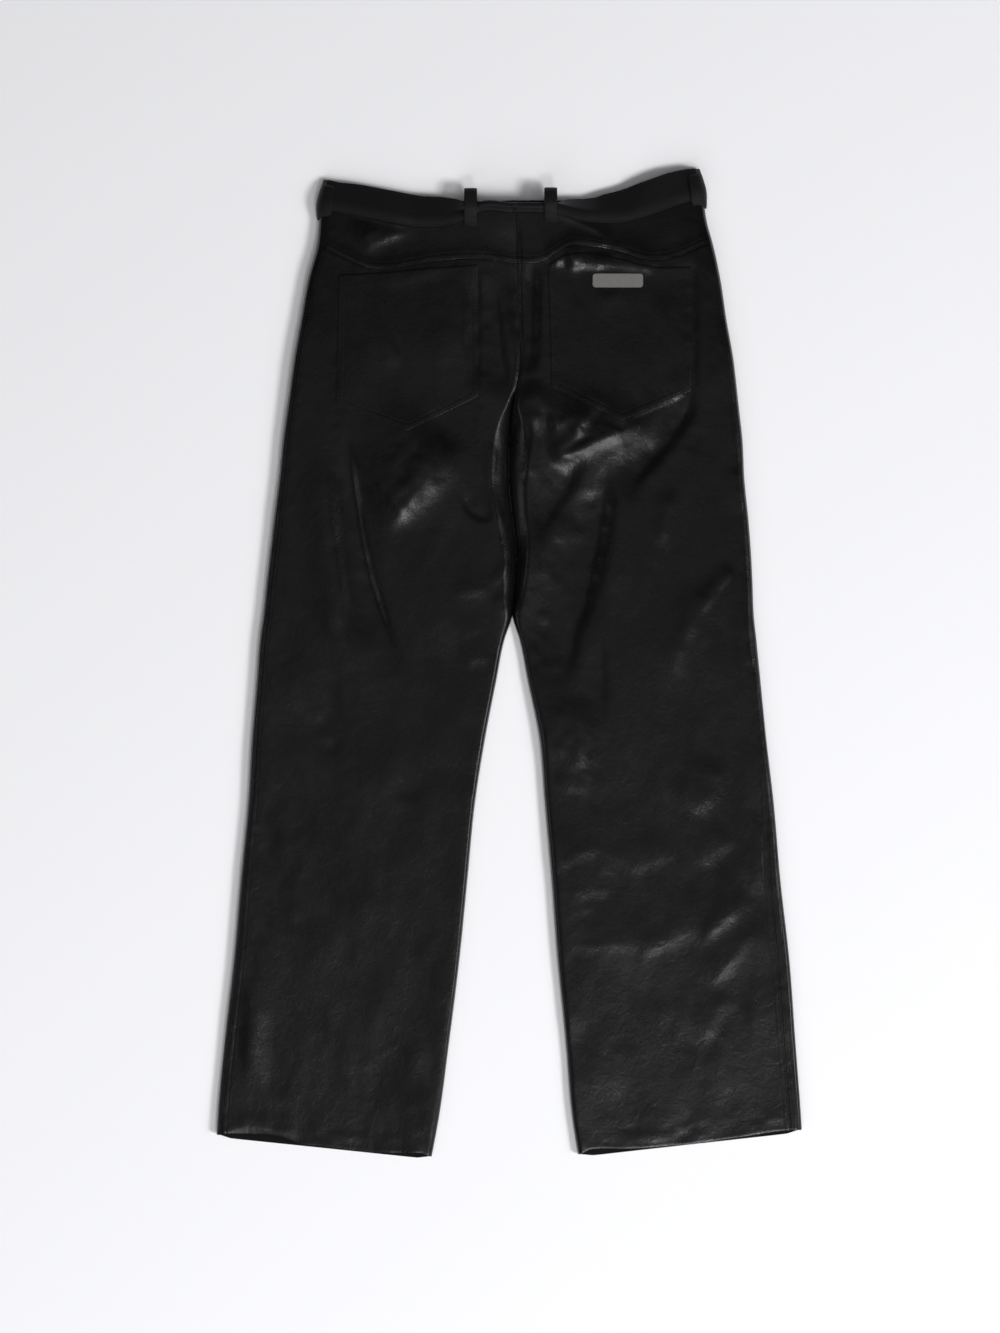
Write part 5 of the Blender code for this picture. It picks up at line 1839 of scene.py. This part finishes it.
    def build_front(self, word: str, dressing: Dressing) -> bpy.types.Object:
        """A front loop, pressed flat between the waistband and the surface."""
        x = self.front[word]
        front = self.waistband.fronts[word][0]
        nearest = int(np.argmin(np.abs(front[0, WRAP_COLUMNS + 1 :, 0] - x))) + WRAP_COLUMNS + 1
        y = np.linspace(front[0, nearest, 1] - 6, front[-1, nearest, 1] - 1, 24)
        path = np.stack([np.full(len(y), x), y, np.full(len(y), PLACKET_WALL / 2)], axis=-1)
        piece, outside, _ = strip(f"shell_loop_front_{word}", path, FRONT_LOOP_WIDTH, PLACKET_WALL)
        dress(piece, f"belt_loop_front_{word}", dressing.leather)
        return piece


@dataclass(frozen=True)
class Lamp:
    """A square soft light that faces the trousers: its place and side in metres, and its power in watts.

    Where gloss is False, glossy surfaces don't mirror it.
    """

    name: str
    place: tuple[float, float, float]
    size: float
    power: float
    gloss: bool = True

    def build(self) -> None:
        """Sets the light up."""
        data = bpy.data.lights.new(self.name, "AREA")
        data.shape = "SQUARE"
        data.size = self.size
        data.energy = self.power
        light = bpy.data.objects.new(self.name, data)
        light.location = self.place
        light.visible_glossy = self.gloss
        light.rotation_euler = (-Vector(self.place)).to_track_quat("-Z", "Y").to_euler()
        bpy.context.scene.collection.objects.link(light)


LAMPS = (
    Lamp("key", (6.2, -2.9, 7.4), 2.3, 605.0, gloss=False),
    Lamp("fill", (-0.6, -3.4, 2.6), 3.0, 52.0, gloss=False),
    Lamp("ceiling", (0.0, 0.0, 4.6), 3.4, 36.0, gloss=False),
    Lamp("ceiling_sheen", (0.0, -0.35, 4.7), 2.8, 3.9),
    Lamp("foot_sheen", (1.2, -3.2, 5.44), 1.28, 82.0),
    Lamp("right_sheen", (3.0, -0.7, 2.5), 1.3, 24.0),
    Lamp("left_sheen", (-3.0, -0.5, 2.4), 1.3, 6.0),
)


@dataclass
class Studio:
    """The surface below, the lights and the camera."""

    centre: tuple[float, float] = (-0.01005, -0.0040)
    view_height: float = 1.4663
    distance: float = 4.0
    sensor: float = 36.0
    floor_size: float = 40.0
    floor_drop: float = 0.0002
    sky: tuple[float, float, float] = (0.86, 0.87, 0.94)
    sky_strength: float = 0.035

    def build(self) -> None:
        """Builds the studio."""
        self.build_floor()
        self.build_camera()
        self.build_sky()
        for lamp in LAMPS:
            lamp.build()

    def build_floor(self) -> None:
        """The plain surface that the trousers lie on."""
        bm = bmesh.new()
        bmesh.ops.create_grid(bm, x_segments=1, y_segments=1, size=self.floor_size / 2)
        mesh = bpy.data.meshes.new("floor")
        bm.to_mesh(mesh)
        bm.free()
        floor = bpy.data.objects.new("floor", mesh)
        bpy.context.scene.collection.objects.link(floor)
        floor.location.z = -self.floor_drop
        mesh.materials.append(Backdrop().material("backdrop"))

    def build_camera(self) -> None:
        """The camera, looking straight down."""
        data = bpy.data.cameras.new("camera")
        data.type = "PERSP"
        data.sensor_width = self.sensor
        data.lens = self.sensor * self.distance / self.view_height
        camera = bpy.data.objects.new("camera", data)
        camera.location = (*self.centre, self.distance)
        bpy.context.scene.collection.objects.link(camera)
        bpy.context.scene.camera = camera

    def build_sky(self) -> None:
        """The even light of the room."""
        world = bpy.data.worlds.new("room")
        bpy.context.scene.world = world
        world.use_nodes = True
        background = world.node_tree.nodes["Background"]
        background.inputs["Color"].default_value = (*self.sky, 1.0)
        background.inputs["Strength"].default_value = self.sky_strength
        bpy.context.scene.view_settings.view_transform = "Standard"


def finish_metal(dressing: Dressing) -> None:
    """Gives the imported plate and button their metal."""
    for node in ("pocket_plate", "waist_button"):
        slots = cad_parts[node].data.materials
        slots.clear()
        slots.append(dressing.metal)


def main() -> None:
    """Builds the trousers and the studio."""
    logging.basicConfig(level=logging.INFO, format="%(message)s")
    Studio().build()
    dressing = Dressing(
        leather=Leather().material("black_leather"),
        band=Leather(
            tone=(0.0062, 0.0062, 0.0066, 1.0), stitch_lines=(2.6,), specular=0.25, roughness=0.58
        ).material("black_leather_band"),
        thread=Thread().material("black_thread"),
        metal=BrushedMetal().material("pale_metal"),
    )
    left = Half(-1, LEFT_SECTIONS, LEFT_POCKET_LINES, LEFT_ROW_GUIDES, LEFT_LIFTS)
    right = Half(1, RIGHT_SECTIONS, RIGHT_POCKET_LINES, RIGHT_ROW_GUIDES, RIGHT_LIFTS)
    join_centre(left, right)
    waistband = Waistband(left, right)
    pieces = waistband.build(dressing) + [waistband.stitches(dressing)]
    for half, word in ((left, "left"), (right, "right")):
        panels = HalfPanels(half, word)
        pieces += panels.build(dressing) + [panels.stitches(dressing)]
    pieces += BeltLoops(waistband).build(dressing)
    finish_metal(dressing)
    for piece in pieces:
        LOG.info("%s: %d faces", piece.name, len(piece.data.polygons))


if __name__ == "__main__":
    main()
